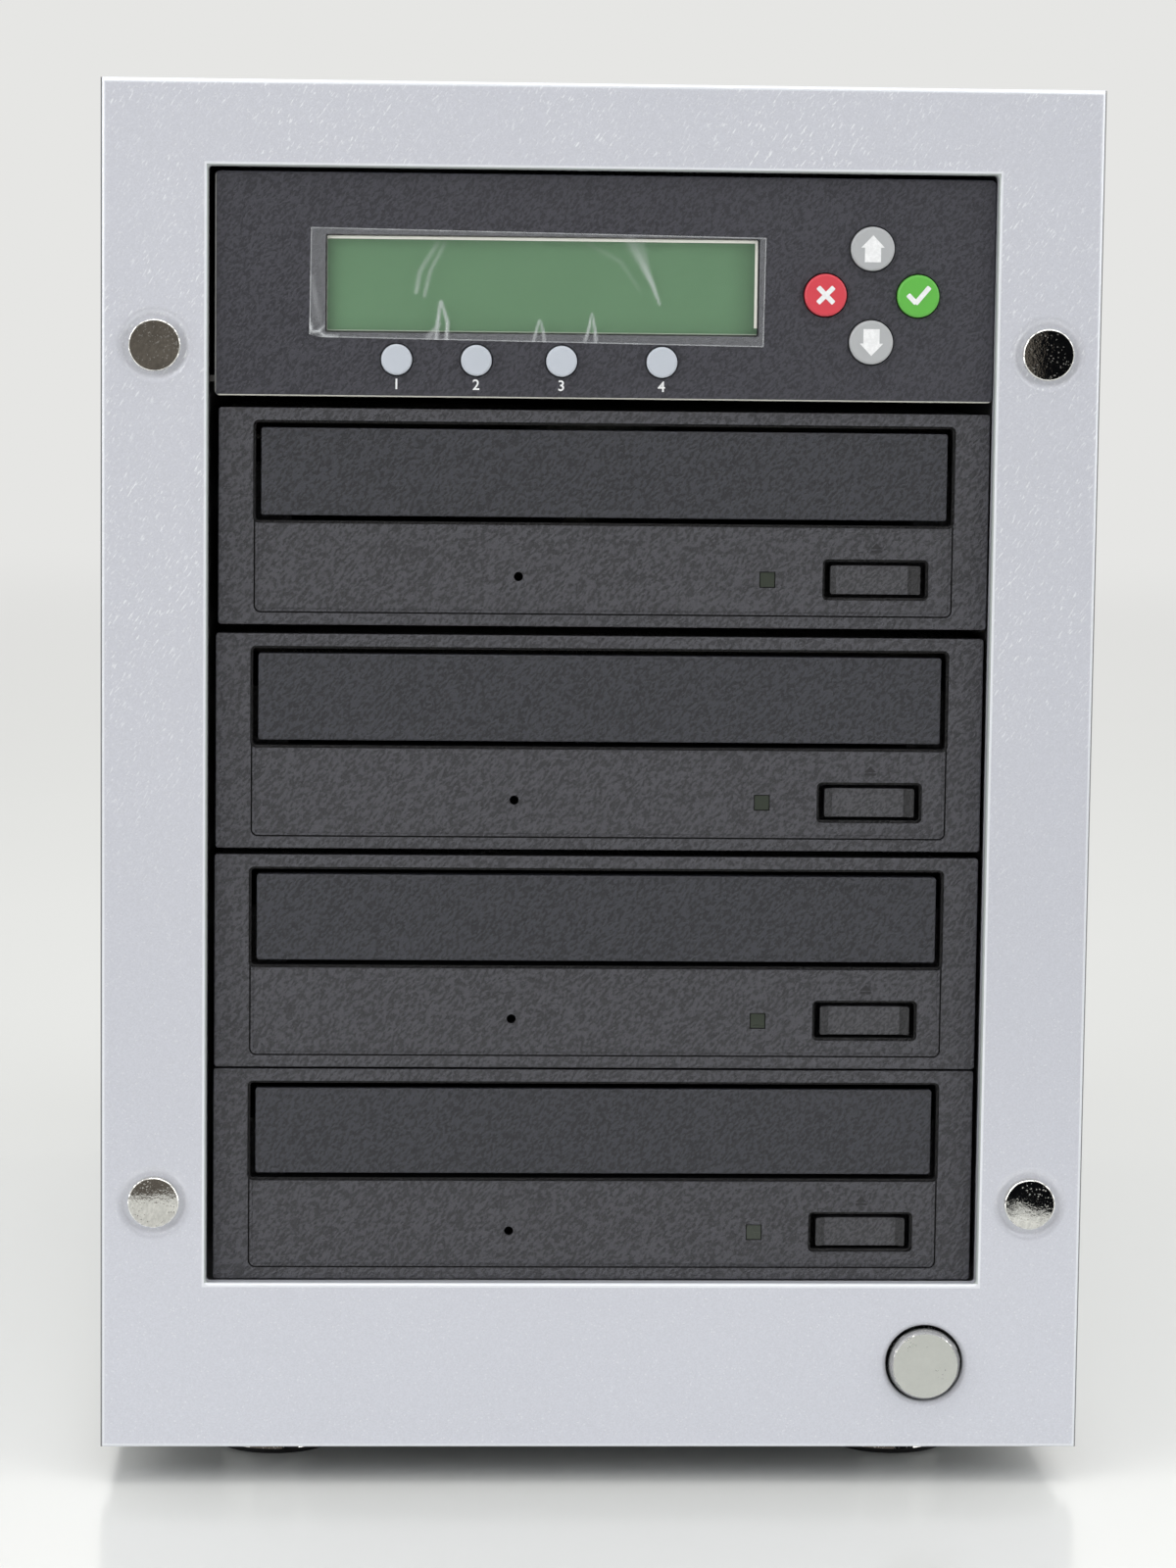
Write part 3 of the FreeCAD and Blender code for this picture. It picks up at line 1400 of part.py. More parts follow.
def mains_fittings():
    """Return the mains inlet and the frame of the mains switch."""
    z = supply_bottom + inlet_z
    face = rear_inner + inlet_flange
    back = rear_inner - inlet_body_depth
    flange = rounded_bar(inlet_width, inlet_height, inlet_corner_radius, inlet_x, z, rear_inner, face)
    body = slab(inlet_x, inlet_body_width, back, rear_inner, z, inlet_body_height)
    cavity_floor = face - inlet_cavity_depth
    across, rise = inlet_cavity_width / 2, inlet_cavity_height / 2
    shoulder, brow = rise - inlet_chamfer, across - inlet_chamfer
    outline = [(-across, -rise), (across, -rise), (across, shoulder),
               (brow, rise), (-brow, rise), (-across, shoulder)]
    corners = [V(inlet_x + x, cavity_floor, z + up) for x, up in outline]
    cavity = Part.Face(Part.makePolygon(corners + corners[:1])).extrude(V(0, inlet_cavity_depth + overrun, 0))
    pins = []
    pin_foot, pin_tip = cavity_floor - overrun, cavity_floor + inlet_pin_length
    for x, up in ((-inlet_pin_x, -inlet_pin_z), (inlet_pin_x, -inlet_pin_z), (0, inlet_pin_z)):
        pins.append(slab(inlet_x + x, inlet_pin_width, pin_foot, pin_tip, z + up, inlet_pin_height))
    inlet = fused([fused([flange, body]).cut(cavity)] + pins)

    z = supply_bottom + switch_z
    face = rear_inner + switch_flange
    flange = rounded_bar(switch_width + 2 * switch_flange, switch_height + 2 * switch_flange, switch_flange,
                         inlet_x, z, rear_inner, face)
    back = rear_inner - switch_body_depth
    body = slab(inlet_x, switch_width, back, rear_inner, z, switch_height)
    room_width = switch_width - 2 * switch_wall
    room_height = switch_height - 2 * switch_wall
    room = slab(inlet_x, room_width, back + switch_wall, face + overrun, z, room_height)
    seat_half = room_height / 2 + rocker_pin_length + running_fit
    pivot_y = face - rocker_pivot_depth
    seat = rod_z(rocker_pivot_radius + running_fit, inlet_x, pivot_y, z - seat_half, z + seat_half)
    switch = fused([flange, body]).cut([room, seat])
    return Part.makeCompound([inlet, switch])


def power_rocker():
    """Return the mains switch's rocker, tipped to its off side."""
    z = supply_bottom + switch_z
    pivot = V(inlet_x, rear_inner + switch_flange - rocker_pivot_depth, z)
    radius = switch_width / 2 - switch_wall - rocker_gap
    rise = switch_height / 2 - switch_wall - rocker_gap
    body = Part.makeCylinder(radius, 2 * rise, V(0, 0, -rise))
    slope = math.tan(math.radians(rocker_tilt))
    edge_y = rocker_crest + 2 * radius * slope
    corners = [V(-2 * radius, edge_y, -rise), V(0, rocker_crest, -rise), V(2 * radius, edge_y, -rise),
               V(2 * radius, 2 * radius + edge_y, -rise), V(-2 * radius, 2 * radius + edge_y, -rise)]
    valley = Part.Face(Part.makePolygon(corners + corners[:1])).extrude(V(0, 0, 2 * rise))
    heel = box(-2 * radius, 2 * radius, -2 * radius, -rocker_heel, -rise, rise)
    pin_half = switch_height / 2 - switch_wall + rocker_pin_length
    pin = rod_z(rocker_pivot_radius, 0, 0, -pin_half, pin_half)
    rocker = fused([body.cut([valley, heel]), pin])
    rocker.rotate(V(0, 0, 0), Z_AXIS, -rocker_tilt)
    rocker.translate(pivot)
    return rocker


def bent_path(points, bend):
    """Return a wire through points with equal tangent arcs at its corners."""
    edges = []
    start = points[0]
    for before, corner, after in zip(points, points[1:], points[2:]):
        inward = (before - corner).normalize()
        outward = (after - corner).normalize()
        half_turn = (math.pi - inward.getAngle(outward)) / 2
        reach = bend * math.tan(half_turn)
        entry = corner + inward * reach
        leave = corner + outward * reach
        bisector = (inward + outward).normalize()
        crown = corner + bisector * (bend / math.cos(half_turn) - bend)
        edges.append(Part.makeLine(start, entry))
        edges.append(Part.Arc(entry, crown, leave).toShape())
        start = leave
    edges.append(Part.makeLine(start, points[-1]))
    return Part.Wire(edges)


def swept(outline, path):
    """Return the solid of a closed outline carried along a path."""
    return path.makePipeShell([outline], True, False)


def lead_column(index):
    """Return the X place of a power lead."""
    return lead_first_x + index * lead_pitch


def ribbon(points, x, width):
    """Return a flat ribbon along points (depth, height) in one upright plane."""
    path = bent_path([V(x, y, z) for y, z in points], ribbon_bend)
    start = path.Vertexes[0].Point
    ahead = path.Edges[0].tangentAt(path.Edges[0].FirstParameter)
    across = X_AXIS * (width / 2)
    up = X_AXIS.cross(ahead) * (ribbon_sheet / 2)
    corners = [start - across - up, start + across - up, start + across + up, start - across + up]
    return swept(Part.makePolygon(corners + corners[:1]), path)


def lead(points, x):
    """Return a round power lead along points (depth, height) in one upright plane."""
    path = bent_path([V(x, y, z) for y, z in points], lead_bend)
    ahead = path.Edges[0].tangentAt(path.Edges[0].FirstParameter)
    outline = Part.Wire(Part.makeCircle(lead_radius, path.Vertexes[0].Point, ahead))
    return swept(outline, path)


def inner_cables():
    """Return the ribbons and power leads between the boards, the drives and the supply."""
    cables = []
    rear = case_setback + case_length
    supply_z = supply_bottom + supply_lead_z
    lead_end = supply_front + supply_sheet + supply_front_gap / 2
    run_y = supply_front - lead_run_gap
    header_top = board_top + header_height
    for index, header_y in enumerate(header_depths()):
        order = drive_count - 1 - index
        z = drive_bottoms[index] + plug_z
        shift = drive_shifts[index]
        socket_end = rear + ribbon_socket_depth
        socket = slab(ribbon_x + shift, ribbon_width, rear, socket_end, z, ribbon_socket_height)
        header_front, header_back = header_y - header_depth / 2, header_y + header_depth / 2
        cap_z = header_top + ribbon_socket_depth / 2
        cap = slab(ribbon_x, ribbon_width, header_front, header_back, cap_z, ribbon_socket_depth)
        back_y = socket_end + ribbon_first_gap + order * ribbon_pitch
        high_z = header_top + ribbon_socket_depth + ribbon_rise + order * ribbon_pitch
        start_y = rear + ribbon_socket_depth / 2
        route = [(start_y, z), (back_y, z), (back_y, high_z), (header_y, high_z), (header_y, cap_z)]
        flat = ribbon(route, ribbon_x, ribbon_width - 2 * ribbon_sheet)
        cables.append(fused([socket, cap, flat]))
        plug_end = rear + lead_plug_depth
        plug = slab(plug_power_x + shift, lead_plug_width, rear, plug_end, z, lead_plug_height)
        route = [(rear + lead_plug_depth / 2, z), (run_y, z), (run_y, supply_z), (lead_end, supply_z)]
        cables.append(fused([plug, lead(route, lead_column(index))]))
    board_z = board_top + lead_plug_height / 2
    board_end = board_front_depth + board_length
    route = [(board_end, board_z), (run_y, board_z), (run_y, supply_z), (lead_end, supply_z)]
    cables.append(lead(route, lead_column(drive_count)))
    strip_z = header_top + ribbon_rise
    strip_start = key_board_front + key_board_sheet
    route = [(strip_start, strip_z), (panel_strip_depth, strip_z), (panel_strip_depth, header_top)]
    cables.append(ribbon(route, panel_strip_x, panel_strip_width - 2 * ribbon_sheet))
    return Part.makeCompound(cables)


def build():
    """Write every node of the tower."""
    os.makedirs("parts", exist_ok=True)
    save("front_panel", front_panel())
    save("panel_bolts", panel_bolts())
    save("chassis_base", chassis_base())
    save("rear_panel", rear_panel())
    save("cover", cover())
    save("drive_cage", drive_cage())
    save("case_screws", case_screws())
    save("foot_cups", foot_cups())
    save("foot_pads", foot_pads())

    pieces = {"drive_case": drive_case(), "drive_bezel": drive_bezel(), "drive_tray": drive_tray(),
              "eject_button": eject_button(), "drive_spindle": spindle(), "pickup_sled": pickup_sled()}
    deck = drive_deck()
    lamp = drive_lamp()
    for index in range(drive_count):
        for name, shape in pieces.items():
            save(name + "_" + str(index + 1), placed_drive_piece(shape, index))
    save("drive_decks", Part.makeCompound([placed_drive_piece(deck, index) for index in range(drive_count)]))
    save("drive_lamps", Part.makeCompound([placed_drive_piece(lamp, index) for index in range(drive_count)]))

    save("control_bezel", control_bezel())
    for name, radius, x, z in key_places():
        save(name, control_key(radius, x, z))
    save("display_module", display_module())
    save("display_film", display_film())
    save("key_board", key_board())
    save("control_board", control_board())
    save("power_button", power_button())
    save("button_housing", button_housing())

    save("supply_case", supply_case())
    save("supply_board", supply_board())
    save("mains_fittings", mains_fittings())
    save("power_rocker", power_rocker())
    supply_fan = (supply_fan_x, supply_fan_z, supply_back_inner, rear_inner)
    case_fan = (0, case_fan_z, rear_inner, body_depth)
    fans = (supply_fan, case_fan)
    save("fan_frames", Part.makeCompound([fan_frame(x, z, end) for x, z, end, face in fans]))
    save("fan_grilles", Part.makeCompound([fan_grille(x, z, face) for x, z, end, face in fans]))
    for name, (x, z, end, face) in zip(("supply_fan_rotor", "case_fan_rotor"), fans):
        save(name, fan_rotor(x, z, end))
    save("inner_cables", inner_cables())


build()
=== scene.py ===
"""Looks of the disc duplicator tower: its finishes, marks, window film, stage, lights and camera.

All lengths are in metres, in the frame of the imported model: X to the right seen from
the front, Y from the front panel to the rear, Z up from the floor.
"""
import json
import logging
import math
from dataclasses import dataclass
from enum import Enum
from typing import Any, Callable, Sequence, Union

import bpy
from mathutils import Matrix, Vector

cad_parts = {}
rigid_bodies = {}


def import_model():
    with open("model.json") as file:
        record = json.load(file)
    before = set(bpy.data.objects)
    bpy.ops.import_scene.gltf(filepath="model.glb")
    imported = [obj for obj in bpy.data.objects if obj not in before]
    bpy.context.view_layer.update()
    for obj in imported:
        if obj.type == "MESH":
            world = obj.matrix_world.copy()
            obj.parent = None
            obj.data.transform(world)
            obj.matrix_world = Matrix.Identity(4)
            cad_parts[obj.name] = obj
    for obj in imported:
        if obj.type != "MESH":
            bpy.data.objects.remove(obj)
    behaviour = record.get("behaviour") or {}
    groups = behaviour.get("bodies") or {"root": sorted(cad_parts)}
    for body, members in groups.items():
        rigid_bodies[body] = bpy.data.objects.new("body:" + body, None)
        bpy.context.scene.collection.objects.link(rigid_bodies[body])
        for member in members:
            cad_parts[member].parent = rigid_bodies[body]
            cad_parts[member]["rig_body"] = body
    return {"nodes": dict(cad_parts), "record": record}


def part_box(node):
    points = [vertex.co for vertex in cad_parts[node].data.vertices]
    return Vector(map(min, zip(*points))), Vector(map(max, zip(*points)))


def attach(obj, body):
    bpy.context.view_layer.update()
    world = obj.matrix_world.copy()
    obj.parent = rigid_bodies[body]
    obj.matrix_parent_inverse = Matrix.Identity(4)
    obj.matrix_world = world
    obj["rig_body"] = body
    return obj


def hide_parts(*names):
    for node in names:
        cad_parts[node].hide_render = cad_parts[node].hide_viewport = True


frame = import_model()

LOG = logging.getLogger("tower")
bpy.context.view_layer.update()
MM = 0.001
WELD = 0.001 * MM
UPRIGHT = (math.pi / 2, 0, 0)
CREASE = "crease"

# The curve from a colour as seen to the renderer's own scale: straight in the dark, a power above.
FULL_TONE = 255
DARK_END = 0.04045
DARK_SLOPE = 12.92
BRIGHT_SHIFT = 0.055
BRIGHT_POWER = 2.4

Piece = bpy.types.Object
Four = tuple[float, float, float, float]
Colour = Four
Tone = tuple[float, float, float]
Point = tuple[float, float]
Span = tuple[float, float]
Value = Union["Signal", float, Sequence[float]]
Surface = dict[str, Value]


class Axis(Enum):
    """Axis of the object's own frame."""

    X = "X"
    Y = "Y"
    Z = "Z"


class Pointing(Enum):
    """Way that a printed arrow points, as its turn about Y."""

    UP = 0.0
    DOWN = math.pi


def linear(tone: Tone, share: float = 1.0) -> Colour:
    """Turn a colour as seen into the renderer's own scale.

    Args:
        tone: Red, green and blue as seen, each from 0 to 255.
        share: Share of that light to keep, above one for a lighter colour.

    Returns:
        The colour with an alpha of one.
    """
    parts = []
    for part in tone:
        seen = part / FULL_TONE
        bright = ((seen + BRIGHT_SHIFT) / (1 + BRIGHT_SHIFT)) ** BRIGHT_POWER
        level = seen / DARK_SLOPE if seen <= DARK_END else bright
        parts.append(min(level * share, 1.0))
    return (parts[0], parts[1], parts[2], 1.0)


class Signal:
    """An output socket of a material's graph that takes part in arithmetic."""

    def __init__(self, graph: "Graph", socket: Any) -> None:
        """Keep the graph and the socket."""
        self.graph = graph
        self.socket = socket

    def _math(self, operation: str, first: Value, second: Value = 0.0) -> "Signal":
        """Return a Math node's output for two operands."""
        return self.graph.add("ShaderNodeMath", {"operation": operation}, {0: first, 1: second})

    def __add__(self, other: Value) -> "Signal":
        """Add a number or signal."""
        return self._math("ADD", self, other)

    def __radd__(self, other: Value) -> "Signal":
        """Add this signal to a number."""
        return self._math("ADD", other, self)

    def __sub__(self, other: Value) -> "Signal":
        """Take away a number or signal."""
        return self._math("SUBTRACT", self, other)

    def __rsub__(self, other: Value) -> "Signal":
        """Take this signal from a number."""
        return self._math("SUBTRACT", other, self)

    def __mul__(self, other: Value) -> "Signal":
        """Multiply by a number or signal."""
        return self._math("MULTIPLY", self, other)

    def __rmul__(self, other: Value) -> "Signal":
        """Multiply a number by this signal."""
        return self._math("MULTIPLY", other, self)

    def __truediv__(self, other: Value) -> "Signal":
        """Divide by a number or signal."""
        return self._math("DIVIDE", self, other)

    def __gt__(self, other: Value) -> "Signal":
        """Return one where this signal is larger, else zero."""
        return self._math("GREATER_THAN", self, other)

    def __lt__(self, other: Value) -> "Signal":
        """Return one where this signal is smaller, else zero."""
        return self._math("LESS_THAN", self, other)

    def size(self) -> "Signal":
        """Return the distance from zero."""
        return self._math("ABSOLUTE", self)

    def wrapped(self, step: float) -> "Signal":
        """Return the rest after whole steps, from zero up to the step."""
        return self._math("FLOORED_MODULO", self, step)

    def greater(self, other: Value) -> "Signal":
        """Return the larger of two values."""
        return self._math("MAXIMUM", self, other)

    def root(self) -> "Signal":
        """Return the square root."""
        return self._math("SQRT", self)

    def either(self, other: "Signal") -> "Signal":
        """Return one where this mask or another one holds."""
        return 1.0 - (1.0 - self) * (1.0 - other)

    def raised(self, floor: float) -> "Signal":
        """Return this signal squeezed between a floor and one."""
        return floor + self * (1.0 - floor)

    def swing(self, change: float) -> "Signal":
        """Return this signal's distance from a half, scaled to a full change."""
        return (self - 0.5) * change

    def eased(self, low: float, high: float) -> "Signal":
        """Return zero below low, one above high and a smooth change between.

        Args:
            low: Where the change begins.
            high: Where it ends.

        Returns:
            The changed signal.
        """
        settings = {"interpolation_type": "SMOOTHSTEP"}
        inputs = {"Value": self, "From Min": low, "From Max": high}
        return self.graph.add("ShaderNodeMapRange", settings, inputs)


class Graph:
    """A material's node graph, with one method that adds any node."""

    # Sockets of the Mix node that carry colours.
    MIX_FACTOR, MIX_FIRST, MIX_SECOND, MIX_RESULT = 0, 6, 7, 2

    def __init__(self, name: str) -> None:
        """Start an empty graph under a material's name."""
        self.material = bpy.data.materials.new(name)
        self.material.use_nodes = True
        self.tree = self.material.node_tree
        self.tree.nodes.clear()

    def add(self, kind: str, settings: dict[str, Any], inputs: dict[Any, Value],
            output: Any = 0) -> Signal:
        """Add a node, set it up, join its inputs and return one output.

        Args:
            kind: The node's type.
            settings: Properties that are set before the sockets.
            inputs: Number, colour or signal for each socket, by name or place.
            output: Name or place of the output to return.

        Returns:
            The chosen output, or an empty signal where the node has none.
        """
        node = self.tree.nodes.new(kind)
        for key, value in settings.items():
            setattr(node, key, value)
        for key, value in inputs.items():
            if isinstance(value, Signal):
                self.tree.links.new(value.socket, node.inputs[key])
            else:
                node.inputs[key].default_value = value
        return Signal(self, node.outputs[output] if node.outputs else None)

    def place(self) -> Signal:
        """Return the place on the object, in metres."""
        return self.add("ShaderNodeTexCoord", {}, {}, "Object")

    def axis(self, axis: Axis) -> Signal:
        """Return the place along one axis."""
        return self.add("ShaderNodeSeparateXYZ", {}, {0: self.place()}, axis.value)

    def stretched(self, scale: Sequence[float]) -> Signal:
        """Return the place multiplied along each axis."""
        return self.add("ShaderNodeMapping", {}, {"Vector": self.place(), "Scale": scale})

    def slanted(self, degrees: float, length: float) -> Signal:
        """Return the place with a pattern's features drawn out along a slant on the front.

        Args:
            degrees: Slant of the features above the horizontal.
            length: How many times longer than wide they are.

        Returns:
            The changed place.
        """
        turn = (0.0, -math.radians(degrees), 0.0)
        inputs = {"Vector": self.place(), "Rotation": turn, "Scale": (length, 1.0, 1.0)}
        return self.add("ShaderNodeMapping", {"vector_type": "TEXTURE"}, inputs)

    def noise(self, grain: float, detail: float = 2.0, rough: float = 0.5,
              source: Signal | None = None) -> Signal:
        """Return soft noise from zero to one.

        Args:
            grain: Width of a blob in metres.
            detail: Number of finer layers.
            rough: Share of the finer layers.
            source: Place to read, or the object's own.

        Returns:
            The noise.
        """
        place = source or self.place()
        inputs = {"Vector": place, "Scale": 1 / grain, "Detail": detail, "Roughness": rough}
        return self.add("ShaderNodeTexNoise", {}, inputs)

    def cells(self, grain: float, feature: str = "F1", output: str = "Distance") -> Signal:
        """Return a pattern of cells.

        Args:
            grain: Width of a cell in metres.
            feature: Which distance is measured.
            output: Name of the output to return.

        Returns:
            The distance or the cell's own colour.
        """
        inputs = {"Vector": self.place(), "Scale": 1 / grain}
        return self.add("ShaderNodeTexVoronoi", {"feature": feature}, inputs, output)

    def random_cells(self, grain: float) -> Signal:
        """Return one random value for each small cell."""
        return self.add("ShaderNodeSeparateColor", {}, {0: self.cells(grain, output="Color")})

    def mixed(self, factor: Value, first: Value, second: Value) -> Signal:
        """Return a colour between two colours."""
        inputs = {self.MIX_FACTOR: factor, self.MIX_FIRST: first, self.MIX_SECOND: second}
        return self.add("ShaderNodeMix", {"data_type": "RGBA"}, inputs, self.MIX_RESULT)

    def relief(self, height: Value, depth: float, under: Signal | None = None) -> Signal:
        """Return the surface's direction after a relief is laid on it.

        Args:
            height: Relief from zero to one.
            depth: Height of the full relief in metres.
            under: Direction from another relief, if there is one.

        Returns:
            The changed direction.
        """
        inputs: dict[Any, Value] = {"Height": height, "Distance": depth, "Strength": 1.0}
        if under is not None:
            inputs["Normal"] = under
        return self.add("ShaderNodeBump", {}, inputs)

    def toned(self, factor: Value, tone: Tone, shades: Span) -> Signal:
        """Return a tone between a darker and a lighter share of its light."""
        return self.mixed(factor, linear(tone, shades[0]), linear(tone, shades[1]))

    def disc(self, centre: Point, radius: float, soft: float = 0.05 * MM) -> Signal:
        """Return one inside a circle on the front, zero outside.

        Args:
            centre: Middle of the circle, X and Z.
            radius: Its radius.
            soft: Width of the change at its edge.

        Returns:
            The mask.
        """
        across = self.axis(Axis.X) - centre[0]
        up = self.axis(Axis.Z) - centre[1]
        return 1.0 - (across * across + up * up).root().eased(radius - soft, radius + soft)

    def beyond(self, low: Point, high: Point) -> Signal:
        """Return how far a place lies outside a rectangle on the front.

        Args:
            low: Lower left corner of the rectangle, X and Z.
            high: Its upper right corner.

        Returns:
            The distance, below zero inside the rectangle.
        """
        across, up = self.axis(Axis.X), self.axis(Axis.Z)
        beside = (low[0] - across).greater(across - high[0])
        return beside.greater((low[1] - up).greater(up - high[1]))

    def close(self, surface: Surface) -> bpy.types.Material:
        """Join a surface's values to the shader, and the shader to the output.

        Args:
            surface: The shader's values.

        Returns:
            The finished material.
        """
        shader = self.add("ShaderNodeBsdfPrincipled", {}, surface)
        self.add("ShaderNodeOutputMaterial", {}, {"Surface": shader})
        return self.material


@dataclass(frozen=True)
class Finish:
    """A plain finish, and the values that every finish has.

    Attributes:
        name: Name of the material.
        tone: Colour as seen, each part from 0 to 255.
        roughness: Roughness of the surface.
        metallic: Share of bare metal.
    """

    name: str
    tone: Tone
    roughness: float = 0.5
    metallic: float = 0.0

    def surface(self, graph: Graph) -> Surface:
        """Return the shader's values for this finish."""
        return {"Base Color": linear(self.tone), "Roughness": self.roughness, "Metallic": self.metallic}

    def varied(self, graph: Graph, factor: Value, darker: float, lighter: float) -> Signal:
        """Return the tone between a darker and a lighter share of its light."""
        return graph.toned(factor, self.tone, (darker, lighter))

    def material(self) -> bpy.types.Material:
        """Make the finish's material."""
        graph = Graph(self.name)
        return graph.close(self.surface(graph))


@dataclass(frozen=True)
class FlakePaint(Finish):
    """Silver paint: fine flakes under a clear layer with a slight orange peel.

    Attributes:
        flake: Width of a flake.
        flake_depth: Height of the flakes' relief.
        peel: Width of a wave of the orange peel.
        peel_depth: Height of such a wave.
        contrast: Share by which the tone varies.
        cloud: Width of a slow cloud in the tone.
        cloud_share: Share of the clouds in the tone.
        cloud_dull: Roughness that a cloud adds.
        sparkling: Random value above which a flake sparkles.
        glint: Colour of a sparkling flake.
        glint_share: Strength of that colour.
        glint_gloss: Roughness that a sparkling flake loses.
        coat: Weight of the clear layer.
        coat_roughness: Its roughness.
    """

    flake: float = 0.26 * MM
    flake_depth: float = 0.003 * MM
    peel: float = 1.9 * MM
    peel_depth: float = 0.004 * MM
    contrast: float = 0.05
    cloud: float = 45 * MM
    cloud_share: float = 0.2
    cloud_dull: float = 0.05
    sparkling: float = 0.982
    glint: Tone = (244, 245, 247)
    glint_share: float = 0.3
    glint_gloss: float = 0.12
    coat: float = 0.6
    coat_roughness: float = 0.10

    def surface(self, graph: Graph) -> Surface:
        """Add flakes, their sparkle and the peel.

        Args:
            graph: The material's graph.

        Returns:
            The shader's values.
        """
        values = super().surface(graph)
        flakes = graph.random_cells(self.flake)
        cloud = graph.noise(self.cloud, detail=3.0)
        blend = flakes * (1 - self.cloud_share) + cloud * self.cloud_share
        colour = self.varied(graph, blend, 1 - self.contrast, 1 + self.contrast)
        sparkle = flakes > self.sparkling
        values["Base Color"] = graph.mixed(sparkle * self.glint_share, colour, linear(self.glint))
        values["Roughness"] = self.roughness + cloud * self.cloud_dull - sparkle * self.glint_gloss
        peel = graph.relief(graph.noise(self.peel, detail=1.0), self.peel_depth)
        values["Normal"] = graph.relief(flakes, self.flake_depth, peel)
        values["Coat Weight"] = self.coat
        values["Coat Roughness"] = self.coat_roughness
        return values


@dataclass(frozen=True)
class PanelPaint(FlakePaint):
    """Front panel's paint: fine brush strokes, and painted highlights and shade at the folds.

    Attributes:
        low: Lower left corner of the panel, X and Z.
        high: Its upper right corner.
        mouth_low: Lower left corner of the opening, X and Z.
        mouth_high: Its upper right corner.
        front: Place of the panel's face along Y.
        reach: Depth that the lines of a fold reach.
        fold: Width of the painted highlight at a fold.
        turn: Width of the fold's turn beyond that highlight, which takes the painted shade.
        bright: Colour of the painted highlight.
        deep: Colour of the painted shade on the turn at the panel's sides.
        shaded: Colour of the painted shade on the turn at the opening.
        rim_share: Strength of the painted highlight round the panel.
        lip_share: Strength of the painted highlight round the opening.
        deep_share: Strength of the painted shade at the panel's sides.
        shaded_share: Strength of the painted shade at the opening.
        stroke: Width of a brush stroke.
        stroke_slant: Slant of the strokes in degrees.
        stroke_length: A stroke's length over its width.
        stroke_levels: Noise levels at which a stroke comes up.
        stroke_light: Share of the tone's light on a stroke.
        growth: Heights over which the strokes gain strength.
        low_share: Their strength below these heights.
        patch: Width of the patches where strokes gather.
        patch_levels: Noise levels at which a patch comes up.
        patch_share: Strength of the strokes between the patches.
    """

    low: Point = (0.0, 0.0)
    high: Point = (0.0, 0.0)
    mouth_low: Point = (0.0, 0.0)
    mouth_high: Point = (0.0, 0.0)
    front: float = 0.0
    reach: float = 1.1 * MM
    fold: float = 0.44 * MM
    turn: float = 0.38 * MM
    bright: Tone = (246, 249, 254)
    deep: Tone = (92, 93, 95)
    shaded: Tone = (150, 158, 154)
    rim_share: float = 0.55
    lip_share: float = 0.75
    deep_share: float = 0.9
    shaded_share: float = 0.8
    stroke: float = 0.42 * MM
    stroke_slant: float = 58
    stroke_length: float = 4.0
    stroke_levels: Span = (0.56, 0.74)
    stroke_light: float = 1.40
    growth: Span = (0.06, 0.20)
    low_share: float = 0.12
    patch: float = 14 * MM
    patch_levels: Span = (0.35, 0.65)
    patch_share: float = 0.35

    def surface(self, graph: Graph) -> Surface:
        """Add the strokes, and the painted highlights and painted shade of the folds.

        Args:
            graph: The material's graph.

        Returns:
            The shader's values.
        """
        values = super().surface(graph)
        colour = self.stroked(graph, values["Base Color"])
        # Painted highlights along the folds round the panel and the opening, and painted shade on the
        # folds' turns.
        ahead = graph.axis(Axis.Y) < self.front + self.reach
        inward = 0.0 - graph.beyond(self.low, self.high)
        side = (graph.axis(Axis.X).size() > self.high[0] - self.turn) * ahead
        rim = (inward < self.fold + self.turn) * ahead
        colour = graph.mixed(rim * self.rim_share, colour, linear(self.bright))
        colour = graph.mixed(side * self.deep_share, colour, linear(self.deep))
        outward = graph.beyond(self.mouth_low, self.mouth_high)
        lip = (outward < self.fold + self.turn) * ahead
        colour = graph.mixed(lip * self.lip_share, colour, linear(self.bright))
        under = graph.axis(Axis.Z) < self.mouth_low[1]
        edge = (outward < self.turn) * (1.0 - under) * ahead
        values["Base Color"] = graph.mixed(edge * self.shaded_share, colour, linear(self.shaded))
        return values

    def stroked(self, graph: Graph, colour: Value) -> Signal:
        """Draw the brush strokes over a colour.

        Args:
            graph: The material's graph.
            colour: The colour under the strokes.

        Returns:
            The colour with the strokes.
        """
        high_up = graph.axis(Axis.Z).eased(*self.growth)
        patches = graph.noise(self.patch).eased(*self.patch_levels)
        course = graph.slanted(self.stroke_slant, self.stroke_length)
        strokes = graph.noise(self.stroke, rough=0.6, source=course).eased(*self.stroke_levels)
        drawn = strokes * high_up.raised(self.low_share) * patches.raised(self.patch_share)
        return graph.mixed(drawn, colour, linear(self.tone, self.stroke_light))


